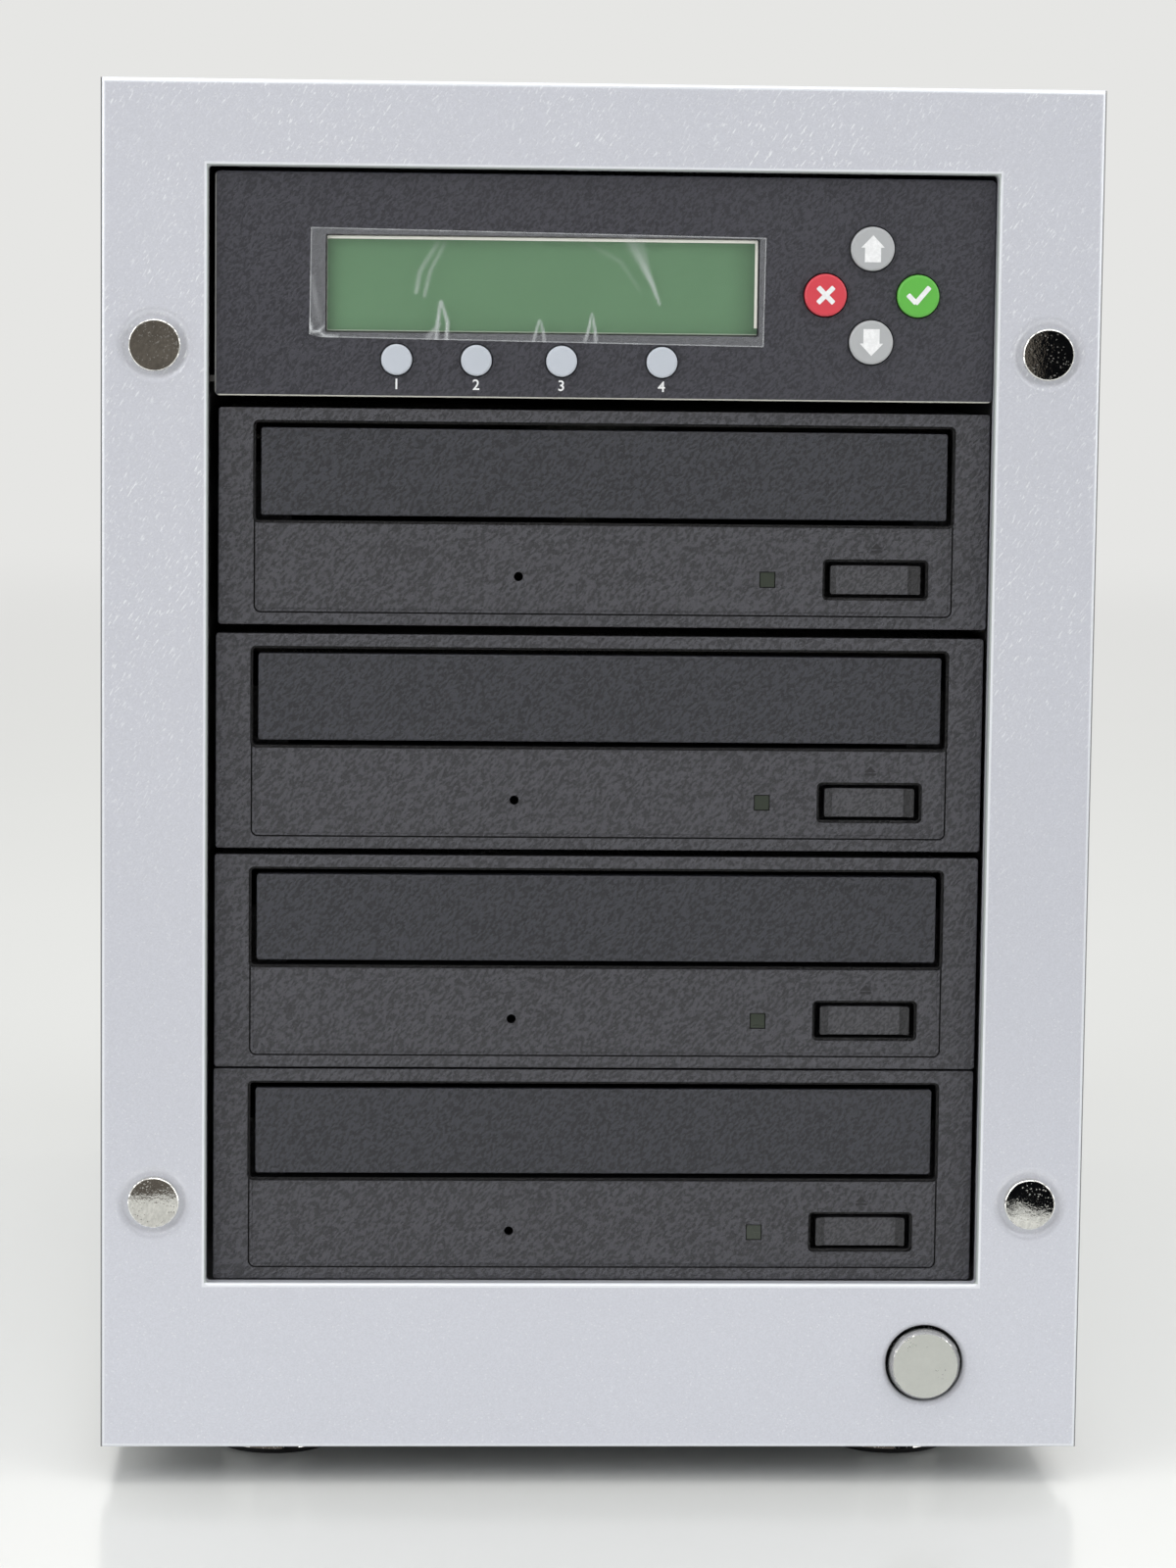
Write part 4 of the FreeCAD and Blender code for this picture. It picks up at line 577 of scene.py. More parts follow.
@dataclass(frozen=True)
class GrainPlastic(Finish):
    """Moulded plastic with a spark eroded grain and faint handling marks.

    Attributes:
        grain: Width of a coarse grain.
        depth: Height of the grain's relief.
        contrast: Share by which the tone varies.
        shine: Level of the mirror reflection.
        slant: Slant of the grains in degrees.
        stretch: A grain's length over its width.
        coarse_levels: Noise levels at which a coarse grain comes up.
        fine: Width of a fine grain as a share of a coarse one.
        fine_levels: Noise levels at which a fine grain comes up.
        fine_share: Share of the fine grain.
        mark: Width of a handling mark.
        mark_share: Share of the marks in the tone.
        mark_dull: Roughness change from the marks.
        grain_dull: Roughness change from the grain.
    """

    grain: float = 0.50 * MM
    depth: float = 0.16 * MM
    contrast: float = 0.56
    shine: float = 0.50
    slant: float = 48
    stretch: float = 1.9
    coarse_levels: Span = (0.38, 0.62)
    fine: float = 0.45
    fine_levels: Span = (0.35, 0.65)
    fine_share: float = 0.3
    mark: float = 38 * MM
    mark_share: float = 0.15
    mark_dull: float = 0.12
    grain_dull: float = 0.06

    def surface(self, graph: Graph) -> Surface:
        """Add the grain and the marks.

        Args:
            graph: The material's graph.

        Returns:
            The shader's values.
        """
        values = super().surface(graph)
        course = graph.slanted(self.slant, self.stretch)
        coarse = graph.noise(self.grain, detail=1.0, source=course).eased(*self.coarse_levels)
        fine = graph.noise(self.grain * self.fine, rough=0.6).eased(*self.fine_levels)
        marks = graph.noise(self.mark, detail=4.0, rough=0.6)
        grain = coarse * (1 - self.fine_share) + fine * self.fine_share
        blend = grain * (1 - self.mark_share) + marks * self.mark_share
        values["Base Color"] = self.varied(graph, blend, 1 - self.contrast, 1 + self.contrast)
        dull = marks.swing(self.mark_dull) + grain.swing(self.grain_dull)
        values["Roughness"] = self.roughness + dull
        values["Normal"] = graph.relief(grain, self.depth)
        values["Specular IOR Level"] = self.shine
        return values


@dataclass(frozen=True)
class BezelPlastic(GrainPlastic):
    """Drive bezel's plastic, with painted shade on the ledges and in the grooves behind its face.

    Attributes:
        face: Place of the bezel's face along Y.
        ledge: Depth behind the face at which the painted shade begins.
        soft: Depth over which the painted shade darkens.
        sunk: Share of the light that the painted shade keeps.
    """

    face: float = 0.0
    ledge: float = 0.32 * MM
    soft: float = 0.1 * MM
    sunk: float = 0.16

    def surface(self, graph: Graph) -> Surface:
        """Paint shade on what lies behind the face.

        Args:
            graph: The material's graph.

        Returns:
            The shader's values.
        """
        values = super().surface(graph)
        # Painted shade on the ledges and grooves behind the face.
        recess_shade = (graph.axis(Axis.Y) - self.face).eased(self.ledge, self.ledge + self.soft)
        values["Base Color"] = graph.mixed(recess_shade, values["Base Color"], linear(self.tone, self.sunk))
        return values


@dataclass(frozen=True)
class ButtonPlastic(GrainPlastic):
    """Eject button's plastic, with painted shade on the slopes at its two ends.

    Attributes:
        low: Place along X where the left slope ends.
        high: Place along X where the right slope starts.
        left: Share of the light that the left slope keeps under its painted shade.
        right: Share that the right slope keeps under its painted shade.
    """

    low: float = 0.0
    high: float = 0.0
    left: float = 0.50
    right: float = 0.36

    def surface(self, graph: Graph) -> Surface:
        """Paint shade on the two slopes.

        Args:
            graph: The material's graph.

        Returns:
            The shader's values.
        """
        values = super().surface(graph)
        across = graph.axis(Axis.X)
        # Painted shade on the end slopes, deeper on the right one.
        shade = (across < self.low) * (1 - self.left) + (across > self.high) * (1 - self.right)
        values["Base Color"] = graph.mixed(shade, values["Base Color"], linear(self.tone, 0.0))
        return values


@dataclass(frozen=True)
class PlatedMetal(Finish):
    """Bright plating with a slow wave, a fine hammered speckle and dull specks.

    Attributes:
        wave: Width of the slow wave.
        wave_depth: Its height.
        speckle: Width of the hammered speckle.
        speckle_depth: Its height.
        speck: Width of a dull speck.
        speck_share: Share of the cells that are dull specks, where they gather.
        speck_light: Share of the light that a dull speck keeps.
        speck_tint: Strength of a dull speck's colour.
        speck_dull: Roughness that a dull speck adds.
        crowd: Width of the places where specks gather.
        crowd_levels: Noise levels at which such a place comes up.
        haze: Width of a cloud of haze.
        haze_levels: Noise levels at which the haze dulls the plating.
        haze_dull: Roughness that the haze adds.
        mottle: Width of the mottle.
        mottle_slant: Its slant in degrees.
        mottle_length: Its length over its width.
        mottle_levels: Noise levels at which it comes up.
        mottle_share: Share of the mottle in the tone.
        shades: Least and most of the tone's light.
    """

    metallic: float = 1.0
    wave: float = 4.5 * MM
    wave_depth: float = 0.0012 * MM
    speckle: float = 0.70 * MM
    speckle_depth: float = 0.0028 * MM
    speck: float = 0.24 * MM
    speck_share: float = 0.10
    speck_light: float = 0.6
    speck_tint: float = 0.25
    speck_dull: float = 0.34
    crowd: float = 2.6 * MM
    crowd_levels: Span = (0.38, 0.66)
    haze: float = 3.5 * MM
    haze_levels: Span = (0.50, 0.80)
    haze_dull: float = 0.02
    mottle: float = 0.55 * MM
    mottle_slant: float = 70
    mottle_length: float = 2.2
    mottle_levels: Span = (0.34, 0.66)
    mottle_share: float = 0.6
    shades: Span = (0.78, 1.14)

    def surface(self, graph: Graph) -> Surface:
        """Add the wave, the speckle and the specks.

        Args:
            graph: The material's graph.

        Returns:
            The shader's values.
        """
        values = super().surface(graph)
        crowd = graph.noise(self.crowd, rough=0.6).eased(*self.crowd_levels)
        course = graph.slanted(self.mottle_slant, self.mottle_length)
        mottle = graph.noise(self.mottle, detail=3.0, rough=0.75, source=course)
        mottle = mottle.eased(*self.mottle_levels)
        specks = graph.random_cells(self.speck) < crowd * self.speck_share
        haze = graph.noise(self.haze, detail=4.0, rough=0.65)
        blend = haze * (1 - self.mottle_share) + mottle * self.mottle_share
        tone = self.varied(graph, blend, *self.shades)
        dark = linear(self.tone, self.speck_light)
        values["Base Color"] = graph.mixed(specks * self.speck_tint, tone, dark)
        dull = haze.eased(*self.haze_levels) * self.haze_dull + specks * self.speck_dull
        values["Roughness"] = self.roughness + dull
        wave = graph.relief(graph.noise(self.wave), self.wave_depth)
        values["Normal"] = graph.relief(graph.noise(self.speckle, rough=0.7), self.speckle_depth, wave)
        return values


@dataclass(frozen=True)
class SheetSteel(Finish):
    """Zinc plated sheet: large soft spangles with rolling lines.

    Attributes:
        spangle: Width of a spangle.
        spangle_share: Share of the spangles in the tone.
        spangle_dull: Roughness change from the spangles.
        lines: Width of a rolling line.
        line_stretch: Share of the line's own scale along the sheet.
        line_dull: Roughness change from the lines.
        line_depth: Height of the lines' relief.
        dull: Width of a dull cloud.
        contrast: Share by which the tone varies.
    """

    metallic: float = 1.0
    spangle: float = 7.0 * MM
    spangle_share: float = 0.6
    spangle_dull: float = 0.10
    lines: float = 0.35 * MM
    line_stretch: float = 0.03
    line_dull: float = 0.12
    line_depth: float = 0.004 * MM
    dull: float = 30 * MM
    contrast: float = 0.10

    def surface(self, graph: Graph) -> Surface:
        """Add the spangles and the rolling lines.

        Args:
            graph: The material's graph.

        Returns:
            The shader's values.
        """
        values = super().surface(graph)
        spangle = graph.random_cells(self.spangle)
        lines = graph.noise(self.lines, source=graph.stretched((1.0, self.line_stretch, 1.0)))
        dull = graph.noise(self.dull, detail=4.0, rough=0.6)
        blend = spangle * self.spangle_share + dull * (1 - self.spangle_share)
        values["Base Color"] = self.varied(graph, blend, 1 - self.contrast, 1 + self.contrast)
        swing = spangle.swing(self.spangle_dull) + lines.swing(self.line_dull)
        values["Roughness"] = self.roughness + swing
        values["Normal"] = graph.relief(lines, self.line_depth)
        return values


@dataclass(frozen=True)
class SmoothPlastic(Finish):
    """Smooth moulded plastic with a slight sink and a few fine scratches.

    Attributes:
        sink: Width of a sink mark.
        sink_shades: Least and most of the tone's light.
        sink_dull: Roughness change from the sink marks.
        sink_depth: Their depth.
        scratch: Width of a scratch.
        scratch_stretch: Share of the scratch's own scale across the piece.
        scratch_levels: Noise levels at which a scratch comes up.
        scratch_dull: Roughness that a scratch adds.
        coat: Weight of a clear layer.
    """

    sink: float = 9 * MM
    sink_shades: Span = (0.95, 1.05)
    sink_dull: float = 0.06
    sink_depth: float = 0.02 * MM
    scratch: float = 0.3 * MM
    scratch_stretch: float = 0.05
    scratch_levels: Span = (0.62, 0.78)
    scratch_dull: float = 0.12
    coat: float = 0.0

    def surface(self, graph: Graph) -> Surface:
        """Add the sink marks and the scratches.

        Args:
            graph: The material's graph.

        Returns:
            The shader's values.
        """
        values = super().surface(graph)
        sink = graph.noise(self.sink)
        course = graph.stretched((self.scratch_stretch, 1.0, 1.0))
        scratch = graph.noise(self.scratch, detail=1.0, source=course).eased(*self.scratch_levels)
        values["Base Color"] = self.varied(graph, sink, *self.sink_shades)
        values["Roughness"] = self.roughness + scratch * self.scratch_dull + sink.swing(self.sink_dull)
        values["Normal"] = graph.relief(sink, self.sink_depth)
        values["Coat Weight"] = self.coat
        return values


@dataclass(frozen=True)
class Rubber(Finish):
    """Dark rubber with a dusty bloom and a fine moulded grain.

    Attributes:
        bloom: Width of a patch of bloom.
        bloom_levels: Noise levels at which a patch comes up.
        bloom_share: Strength of the bloom's colour.
        bloom_light: Share of the tone's light in the bloom.
        bloom_dull: Roughness that the bloom adds.
        grain: Width of the moulded grain.
        grain_depth: Its height.
    """

    bloom: float = 6 * MM
    bloom_levels: Span = (0.45, 0.75)
    bloom_share: float = 0.6
    bloom_light: float = 2.4
    bloom_dull: float = 0.1
    grain: float = 0.5 * MM
    grain_depth: float = 0.03 * MM

    def surface(self, graph: Graph) -> Surface:
        """Add the bloom and the grain.

        Args:
            graph: The material's graph.

        Returns:
            The shader's values.
        """
        values = super().surface(graph)
        bloom = graph.noise(self.bloom, detail=4.0, rough=0.65).eased(*self.bloom_levels)
        grain = graph.noise(self.grain, detail=3.0)
        values["Base Color"] = self.varied(graph, bloom * self.bloom_share, 1.0, self.bloom_light)
        values["Roughness"] = self.roughness + bloom * self.bloom_dull
        values["Normal"] = graph.relief(grain, self.grain_depth)
        return values


@dataclass(frozen=True)
class ButtonMetal(PlatedMetal):
    """Chrome button whose inner face is satin, with smudges.

    Attributes:
        centre: Middle of the button, X and Z.
        face_radius: Radius of the satin face.
        face_tone: Its colour as seen.
        face_roughness: Its roughness.
        face_metal: Its share of bare metal.
        face_shades: Shares of its light between which it changes.
        worn_dull: Change of its roughness where it is worn.
        smudge: Width of a smudge.
        dust: Width of a grain of dust.
        dust_share: Share of the dust in the face's changes.
    """

    centre: Point = (0.0, 0.0)
    face_radius: float = 6.3 * MM
    face_tone: Tone = (222, 224, 218)
    face_roughness: float = 0.30
    face_metal: float = 0.70
    face_shades: Span = (0.80, 1.12)
    worn_dull: float = 0.20
    smudge: float = 3.2 * MM
    dust: float = 0.7 * MM
    dust_share: float = 0.4

    def surface(self, graph: Graph) -> Surface:
        """Add the satin face inside the bright rim.

        Args:
            graph: The material's graph.

        Returns:
            The shader's values.
        """
        values = super().surface(graph)
        inside = graph.disc(self.centre, self.face_radius)
        smudge = graph.noise(self.smudge, detail=4.0, rough=0.6)
        dust = graph.noise(self.dust, detail=3.0, rough=0.7)
        worn = smudge * (1 - self.dust_share) + dust * self.dust_share
        face = graph.toned(worn, self.face_tone, self.face_shades)
        values["Base Color"] = graph.mixed(inside, values["Base Color"], face)
        satin = self.face_roughness + worn.swing(self.worn_dull)
        values["Roughness"] = values["Roughness"] * (1.0 - inside) + satin * inside
        values["Metallic"] = 1.0 - inside * (1.0 - self.face_metal)
        return values


@dataclass(frozen=True)
class PrintedPanel(GrainPlastic):
    """Control panel's printed face, with a pale line along its lower edge and a fainter one at its left.

    Attributes:
        low: Lower left corner of the panel, X and Z.
        edge: Width of a pale line as seen from the front.
        edge_tone: Its colour.
        side_share: Strength of the pale line at the left.
    """

    low: Point = (0.0, 0.0)
    edge: float = 0.26 * MM
    edge_tone: Tone = (214, 214, 204)
    side_share: float = 0.35

    def surface(self, graph: Graph) -> Surface:
        """Add the pale lines.

        Args:
            graph: The material's graph.

        Returns:
            The shader's values.
        """
        values = super().surface(graph)
        below = (graph.axis(Axis.Z) - self.low[1]) < self.edge
        beside = (graph.axis(Axis.X) - self.low[0]) < self.edge
        pale_lines = below.either(beside * self.side_share)
        values["Base Color"] = graph.mixed(pale_lines, values["Base Color"], linear(self.edge_tone))
        return values


@dataclass(frozen=True)
class DisplayGlass(Finish):
    """Green character display: faint dot grid, darker ends and a pale strip along two edges.

    Attributes:
        low: Lower left corner of the window, X and Z.
        high: Upper right corner of the window.
        strip: Width of the pale strip along the top and the right.
        strip_start: Height over the window's lower edge where the right strip begins.
        strip_tone: Colour of the strip.
        seam: Width of the pale line at the left.
        seam_share: Strength of that line.
        seam_cloud: Strength that the clouds add to it.
        sill: Height of the paler line along the lower edge.
        sill_share: Strength of that line.
        dot: Distance between two dots.
        dot_gap: Share of that distance in the soft gap.
        dot_share: Light that the dots add.
        row_floor: Share of the dots' light left between two rows.
        left_shade: Places from the left edge between which the light comes up.
        right_shade: Places from the right strip between which it comes up.
        top_shade: Places from the top strip between which it comes up.
        shade_share: Light that the middle of the glass adds.
        cloud: Width of a cloud.
        cloud_share: Light that the clouds add.
        cloud_dull: Roughness change from the clouds.
        mottle: Width of the mottle.
        mottle_share: Light that the mottle adds.
        shades: Shares of the tone's light without and with all of these lights.
        frame_tone: Colour of the module outside the window.
        frame_dull: Roughness that this module adds.
        shine: Level of the mirror reflection.
    """

    low: Point = (0.0, 0.0)
    high: Point = (0.0, 0.0)
    strip: float = 0.85 * MM
    strip_start: float = 1.6 * MM
    strip_tone: Tone = (252, 252, 242)
    seam: float = 0.36 * MM
    seam_share: float = 0.35
    seam_cloud: float = 0.5
    sill: float = 0.5 * MM
    sill_share: float = 0.3
    dot: float = 0.62 * MM
    dot_gap: float = 0.30
    dot_share: float = 0.16
    row_floor: float = 0.3
    left_shade: Span = (-1 * MM, 4 * MM)
    right_shade: Span = (-0.5 * MM, 6 * MM)
    top_shade: Span = (-1.5 * MM, 2.5 * MM)
    shade_share: float = 0.51
    cloud: float = 13 * MM
    cloud_share: float = 0.20
    cloud_dull: float = 0.08
    mottle: float = 1.3 * MM
    mottle_share: float = 0.13
    shades: Span = (0.58, 1.02)
    frame_tone: Tone = (52, 53, 55)
    frame_dull: float = 0.25
    shine: float = 0.3

    def surface(self, graph: Graph) -> Surface:
        """Add the dot grid, the shading, the strip and the frame.

        Args:
            graph: The material's graph.

        Returns:
            The shader's values.
        """
        values = super().surface(graph)
        across, up = graph.axis(Axis.X), graph.axis(Axis.Z)
        left, right = across - self.low[0], self.high[0] - across
        below, above = up - self.low[1], self.high[1] - up
        columns = (across / self.dot).wrapped(1.0).eased(0.0, self.dot_gap)
        rows = (up / self.dot).wrapped(1.0).eased(0.0, self.dot_gap)
        shade = left.eased(*self.left_shade) * (right - self.strip).eased(*self.right_shade)
        shade = shade * (above - self.strip).eased(*self.top_shade)
        cloud = graph.noise(self.cloud, detail=3.0)
        mottle = graph.noise(self.mottle, detail=3.0, rough=0.7)
        fine = columns * rows.raised(self.row_floor) * self.dot_share
        light = shade * self.shade_share + fine + cloud * self.cloud_share + mottle * self.mottle_share
        green = self.varied(graph, light, *self.shades)
        green = graph.mixed((below < self.sill) * self.sill_share, green, linear(self.strip_tone))
        seam = (left < self.seam) * (self.seam_share + cloud * self.seam_cloud)
        side = (right < self.strip) * (below > self.strip_start)
        pale = (above < self.strip).either(side).either(seam)
        face = graph.mixed(pale, green, linear(self.strip_tone))
        inside = (left > 0.0) * (right > 0.0) * (below > 0.0) * (above > 0.0)
        values["Base Color"] = graph.mixed(inside, linear(self.frame_tone), face)
        dull = cloud.swing(self.cloud_dull) + (1.0 - inside) * self.frame_dull
        values["Roughness"] = self.roughness + dull
        values["Specular IOR Level"] = self.shine
        return values


@dataclass(frozen=True)
class ClearFilm(Finish):
    """Thin clear film, with painted highlights at its creases and cut edges, and milky where it lies on
    the bezel.

    Attributes:
        centre: Middle of the film, X and Z.
        half: Half its width and half its height.
        turn: Its turn clockwise, in radians.
        low: Lower left corner of the window under it, X and Z.
        high: Upper right corner of that window.
        clear: Share of the light that the clear film keeps back.
        resting: What it keeps back more over the bezel.
        cut: What it keeps back more along its cut edges as a painted highlight, in full haze.
        milky: What it keeps back more on a full crease, as a painted highlight.
        edge: Width of a cut edge's shine.
        haze: Width of a cloud of haze.
        haze_floor: Share of the haze over the bezel that is everywhere.
        haze_gain: Share that the clouds add.
        haze_dull: Roughness that the haze adds.
        dust: Width of a grain of dust.
        dust_level: Noise level above which there is a grain.
        dust_share: What the film keeps back more on a grain.
    """

    centre: Point = (0.0, 0.0)
    half: Point = (0.0, 0.0)
    turn: float = 0.0
    low: Point = (0.0, 0.0)
    high: Point = (0.0, 0.0)
    clear: float = 0.012
    resting: float = 0.055
    cut: float = 0.32
    milky: float = 0.42
    edge: float = 0.22 * MM
    haze: float = 2.4 * MM
    haze_floor: float = 0.55
    haze_gain: float = 0.9
    haze_dull: float = 0.12
    dust: float = 0.5 * MM
    dust_level: float = 0.735
    dust_share: float = 0.10

    def surface(self, graph: Graph) -> Surface:
        """Add painted highlights along the cut edges and the sheet's own creases, and the haze over the
        bezel.

        Args:
            graph: The material's graph.

        Returns:
            The shader's values.
        """
        values = super().surface(graph)
        crease = graph.add("ShaderNodeAttribute", {"attribute_name": CREASE}, {}, "Fac")
        x, z = graph.axis(Axis.X), graph.axis(Axis.Z)
        right, up = x - self.centre[0], z - self.centre[1]
        along = right * math.cos(self.turn) - up * math.sin(self.turn)
        rise = right * math.sin(self.turn) + up * math.cos(self.turn)
        side = along.size() > self.half[0] - self.edge
        ends = rise.size() > self.half[1] - self.edge
        inside = (x > self.low[0]) * (x < self.high[0]) * (z > self.low[1]) * (z < self.high[1])
        haze = graph.noise(self.haze, detail=4.0, rough=0.7)
        dust = graph.noise(self.dust, rough=0.6) > self.dust_level
        resting = (1.0 - inside) * self.resting * (self.haze_floor + haze * self.haze_gain)
        # The pale film's cover along the cut edges and the creases is a painted highlight.
        cover = self.clear + resting + side.either(ends) * self.cut * haze + crease * self.milky
        values["Alpha"] = cover + dust * inside * self.dust_share
        values["Roughness"] = self.roughness + haze * self.haze_dull
        return values


@dataclass(frozen=True)
class CircuitBoard(Finish):
    """Lacquered board with copper tracks; its parts stand off one face.

    Attributes:
        axis: Axis that the board's face looks along.
        face: Place of that face.
        turned: True where the parts stand on the lower side of the axis.
        skin: Distance from the face beyond which a part begins.
        track: Distance between two tracks.
        track_levels: Shares of that distance between which a track ends.
        track_light: Share of the tone's light on a track.
        track_depth: Height of the tracks' relief.
        joint: Distance between two solder points.
        joint_levels: Shares of that distance between which a point ends.
        joint_tone: Colour of a solder point.
        joint_metal: Its share of bare metal.
        part: Width over which the parts' colour changes.
        part_tone: Colour of the parts.
        part_light: Share of their light on the palest part.
        part_dull: Roughness that a part adds.
    """

    axis: Axis = Axis.Z
    face: float = 0.0
    turned: bool = False
    skin: float = 0.02 * MM
    track: float = 4.5 * MM
    track_levels: Span = (0.05, 0.09)
    track_light: float = 1.7
    track_depth: float = 0.04 * MM
    joint: float = 2.6 * MM
    joint_levels: Span = (0.16, 0.22)
    joint_tone: Tone = (190, 192, 190)
    joint_metal: float = 0.8
    part: float = 18 * MM
    part_tone: Tone = (38, 38, 40)
    part_light: float = 2.2
    part_dull: float = 0.15

    def surface(self, graph: Graph) -> Surface:
        """Add the tracks, the solder points and the parts' own colours.

        Args:
            graph: The material's graph.

        Returns:
            The shader's values.
        """
        values = super().surface(graph)
        away = graph.axis(self.axis) - self.face
        parts = (away < -self.skin) if self.turned else (away > self.skin)
        tracks = graph.cells(self.track, "DISTANCE_TO_EDGE").eased(*self.track_levels)
        joints = 1.0 - graph.cells(self.joint).eased(*self.joint_levels)
        lacquer = self.varied(graph, tracks, self.track_light, 1.0)
        lacquer = graph.mixed(joints, lacquer, linear(self.joint_tone))
        tint = graph.random_cells(self.part)
        body = graph.toned(tint, self.part_tone, (1.0, self.part_light))
        values["Base Color"] = graph.mixed(parts, lacquer, body)
        values["Roughness"] = self.roughness + parts * self.part_dull
        values["Metallic"] = joints * (1.0 - parts) * self.joint_metal
        values["Normal"] = graph.relief(tracks, self.track_depth)
        return values


@dataclass(frozen=True)
class InletPlastic(SmoothPlastic):
    """Black inlet and switch housing whose contact pins are plated.

    Attributes:
        centre: Middle of the inlet, X and Z.
        pin_offset: Pins' distance from the middle, across and up.
        pin_half: Half the width and half the height of a pin.
        pin_tone: Colour of the pins.
    """

    centre: Point = (0.0, 0.0)
    pin_offset: Point = (7.0 * MM, 2.0 * MM)
    pin_half: Point = (1.05 * MM, 2.05 * MM)
    pin_tone: Tone = (196, 190, 176)

    def surface(self, graph: Graph) -> Surface:
        """Add the plated pins to the housing.

        Args:
            graph: The material's graph.

        Returns:
            The shader's values.
        """
        values = super().surface(graph)
        across, up = graph.axis(Axis.X) - self.centre[0], graph.axis(Axis.Z) - self.centre[1]
        side, rise = self.pin_offset
        tall = (up + rise).size() < self.pin_half[1]
        pair = ((across.size() - side).size() < self.pin_half[0]) * tall
        earth = (across.size() < self.pin_half[0]) * ((up - rise).size() < self.pin_half[1])
        pins = pair + earth
        values["Base Color"] = graph.mixed(pins, values["Base Color"], linear(self.pin_tone))
        values["Metallic"] = pins
        return values


@dataclass(frozen=True)
class CableSet(Finish):
    """Grey ribbons with scored conductors, painted shade in the grooves between them, and coloured power
    leads.

    Attributes:
        ribbon_start: Place along X where the ribbons begin; the leads lie to its left.
        conductor: Width of one conductor.
        groove: Share of that width that a groove takes at each side.
        groove_light: Share of the tone's light that the groove's painted shade keeps.
        groove_depth: Depth of the groove.
        lead: Distance between two leads.
        dark_lead: Colour of every other lead.
        pale_lead: Colour of the leads between them.
        bloom: Width of a dull cloud.
        bloom_dull: Roughness that a dull cloud adds.
    """

    ribbon_start: float = -10 * MM
    conductor: float = 1.27 * MM
    groove: float = 0.18
    groove_light: float = 0.55
    groove_depth: float = 0.12 * MM
    lead: float = 5.0 * MM
    dark_lead: Tone = (32, 32, 34)
    pale_lead: Tone = (196, 160, 40)
    bloom: float = 4 * MM
    bloom_dull: float = 0.1

    def surface(self, graph: Graph) -> Surface:
        """Add the conductors with painted shade in their grooves, and the leads' colours.

        Args:
            graph: The material's graph.

        Returns:
            The shader's values.
        """
        values = super().surface(graph)
        across = graph.axis(Axis.X)
        ribbon = across > self.ribbon_start
        score = (across / self.conductor).wrapped(1.0)
        crest = score.eased(0.0, self.groove) * (1.0 - score.eased(1.0 - self.groove, 1.0))
        # Painted shade in the grooves between the conductors.
        grey = self.varied(graph, crest, self.groove_light, 1.0)
        turn = (across / (2 * self.lead)).wrapped(1.0) > 0.5
        lead = graph.mixed(turn, linear(self.dark_lead), linear(self.pale_lead))
        values["Base Color"] = graph.mixed(ribbon, lead, grey)
        values["Roughness"] = self.roughness + graph.noise(self.bloom, detail=3.0) * self.bloom_dull
        values["Normal"] = graph.relief(crest * ribbon, self.groove_depth)
        return values


@dataclass(frozen=True)
class SpindleMetal(SheetSteel):
    """Turned spindle: steel rotor, dark friction ring and pale plastic clamp.

    Attributes:
        table: Height of the turntable's top.
        centre: Middle of the spindle, X and Y.
        ring_half: Half the thickness of the friction ring.
        ring_radius: Its inner radius.
        ring_tone: Its colour.
        clamp_rise: Height of the clamp's lowest point over the turntable's top.
        clamp_tone: Colour of the clamp.
    """

    table: float = 0.0
    centre: Point = (0.0, 0.0)
    ring_half: float = 0.3 * MM
    ring_radius: float = 9 * MM
    ring_tone: Tone = (28, 28, 28)
    clamp_rise: float = 0.5 * MM
    clamp_tone: Tone = (214, 214, 208)

    def surface(self, graph: Graph) -> Surface:
        """Add the friction ring and the clamp's plastic.

        Args:
            graph: The material's graph.

        Returns:
            The shader's values.
        """
        values = super().surface(graph)
        across, along = graph.axis(Axis.X) - self.centre[0], graph.axis(Axis.Y) - self.centre[1]
        radius = (across * across + along * along).root()
        height = graph.axis(Axis.Z) - self.table
        ring = (height.size() < self.ring_half) * (radius > self.ring_radius)
        clamp = height > self.clamp_rise
        colour = graph.mixed(ring, values["Base Color"], linear(self.ring_tone))
        values["Base Color"] = graph.mixed(clamp, colour, linear(self.clamp_tone))
        values["Metallic"] = (1.0 - ring) * (1.0 - clamp)
        return values


@dataclass(frozen=True)
class Ink(Finish):
    """Printed mark, a little thinner in places.

    Attributes:
        thin: Width of a thin place.
        thin_levels: Noise levels at which such a place comes up.
        thin_shades: Shares of the tone's light in full ink and in a thin place.
        thin_dull: Roughness that a thin place adds.
    """

    thin: float = 0.6 * MM
    thin_levels: Span = (0.40, 0.70)
    thin_shades: Span = (0.93, 1.04)
    thin_dull: float = 0.08

    def surface(self, graph: Graph) -> Surface:
        """Add the uneven ink.

        Args:
            graph: The material's graph.

        Returns:
            The shader's values.
        """
        values = super().surface(graph)
        thin = graph.noise(self.thin, detail=3.0, rough=0.6).eased(*self.thin_levels)
        values["Base Color"] = self.varied(graph, thin, *self.thin_shades)
        values["Roughness"] = self.roughness + thin * self.thin_dull
        return values


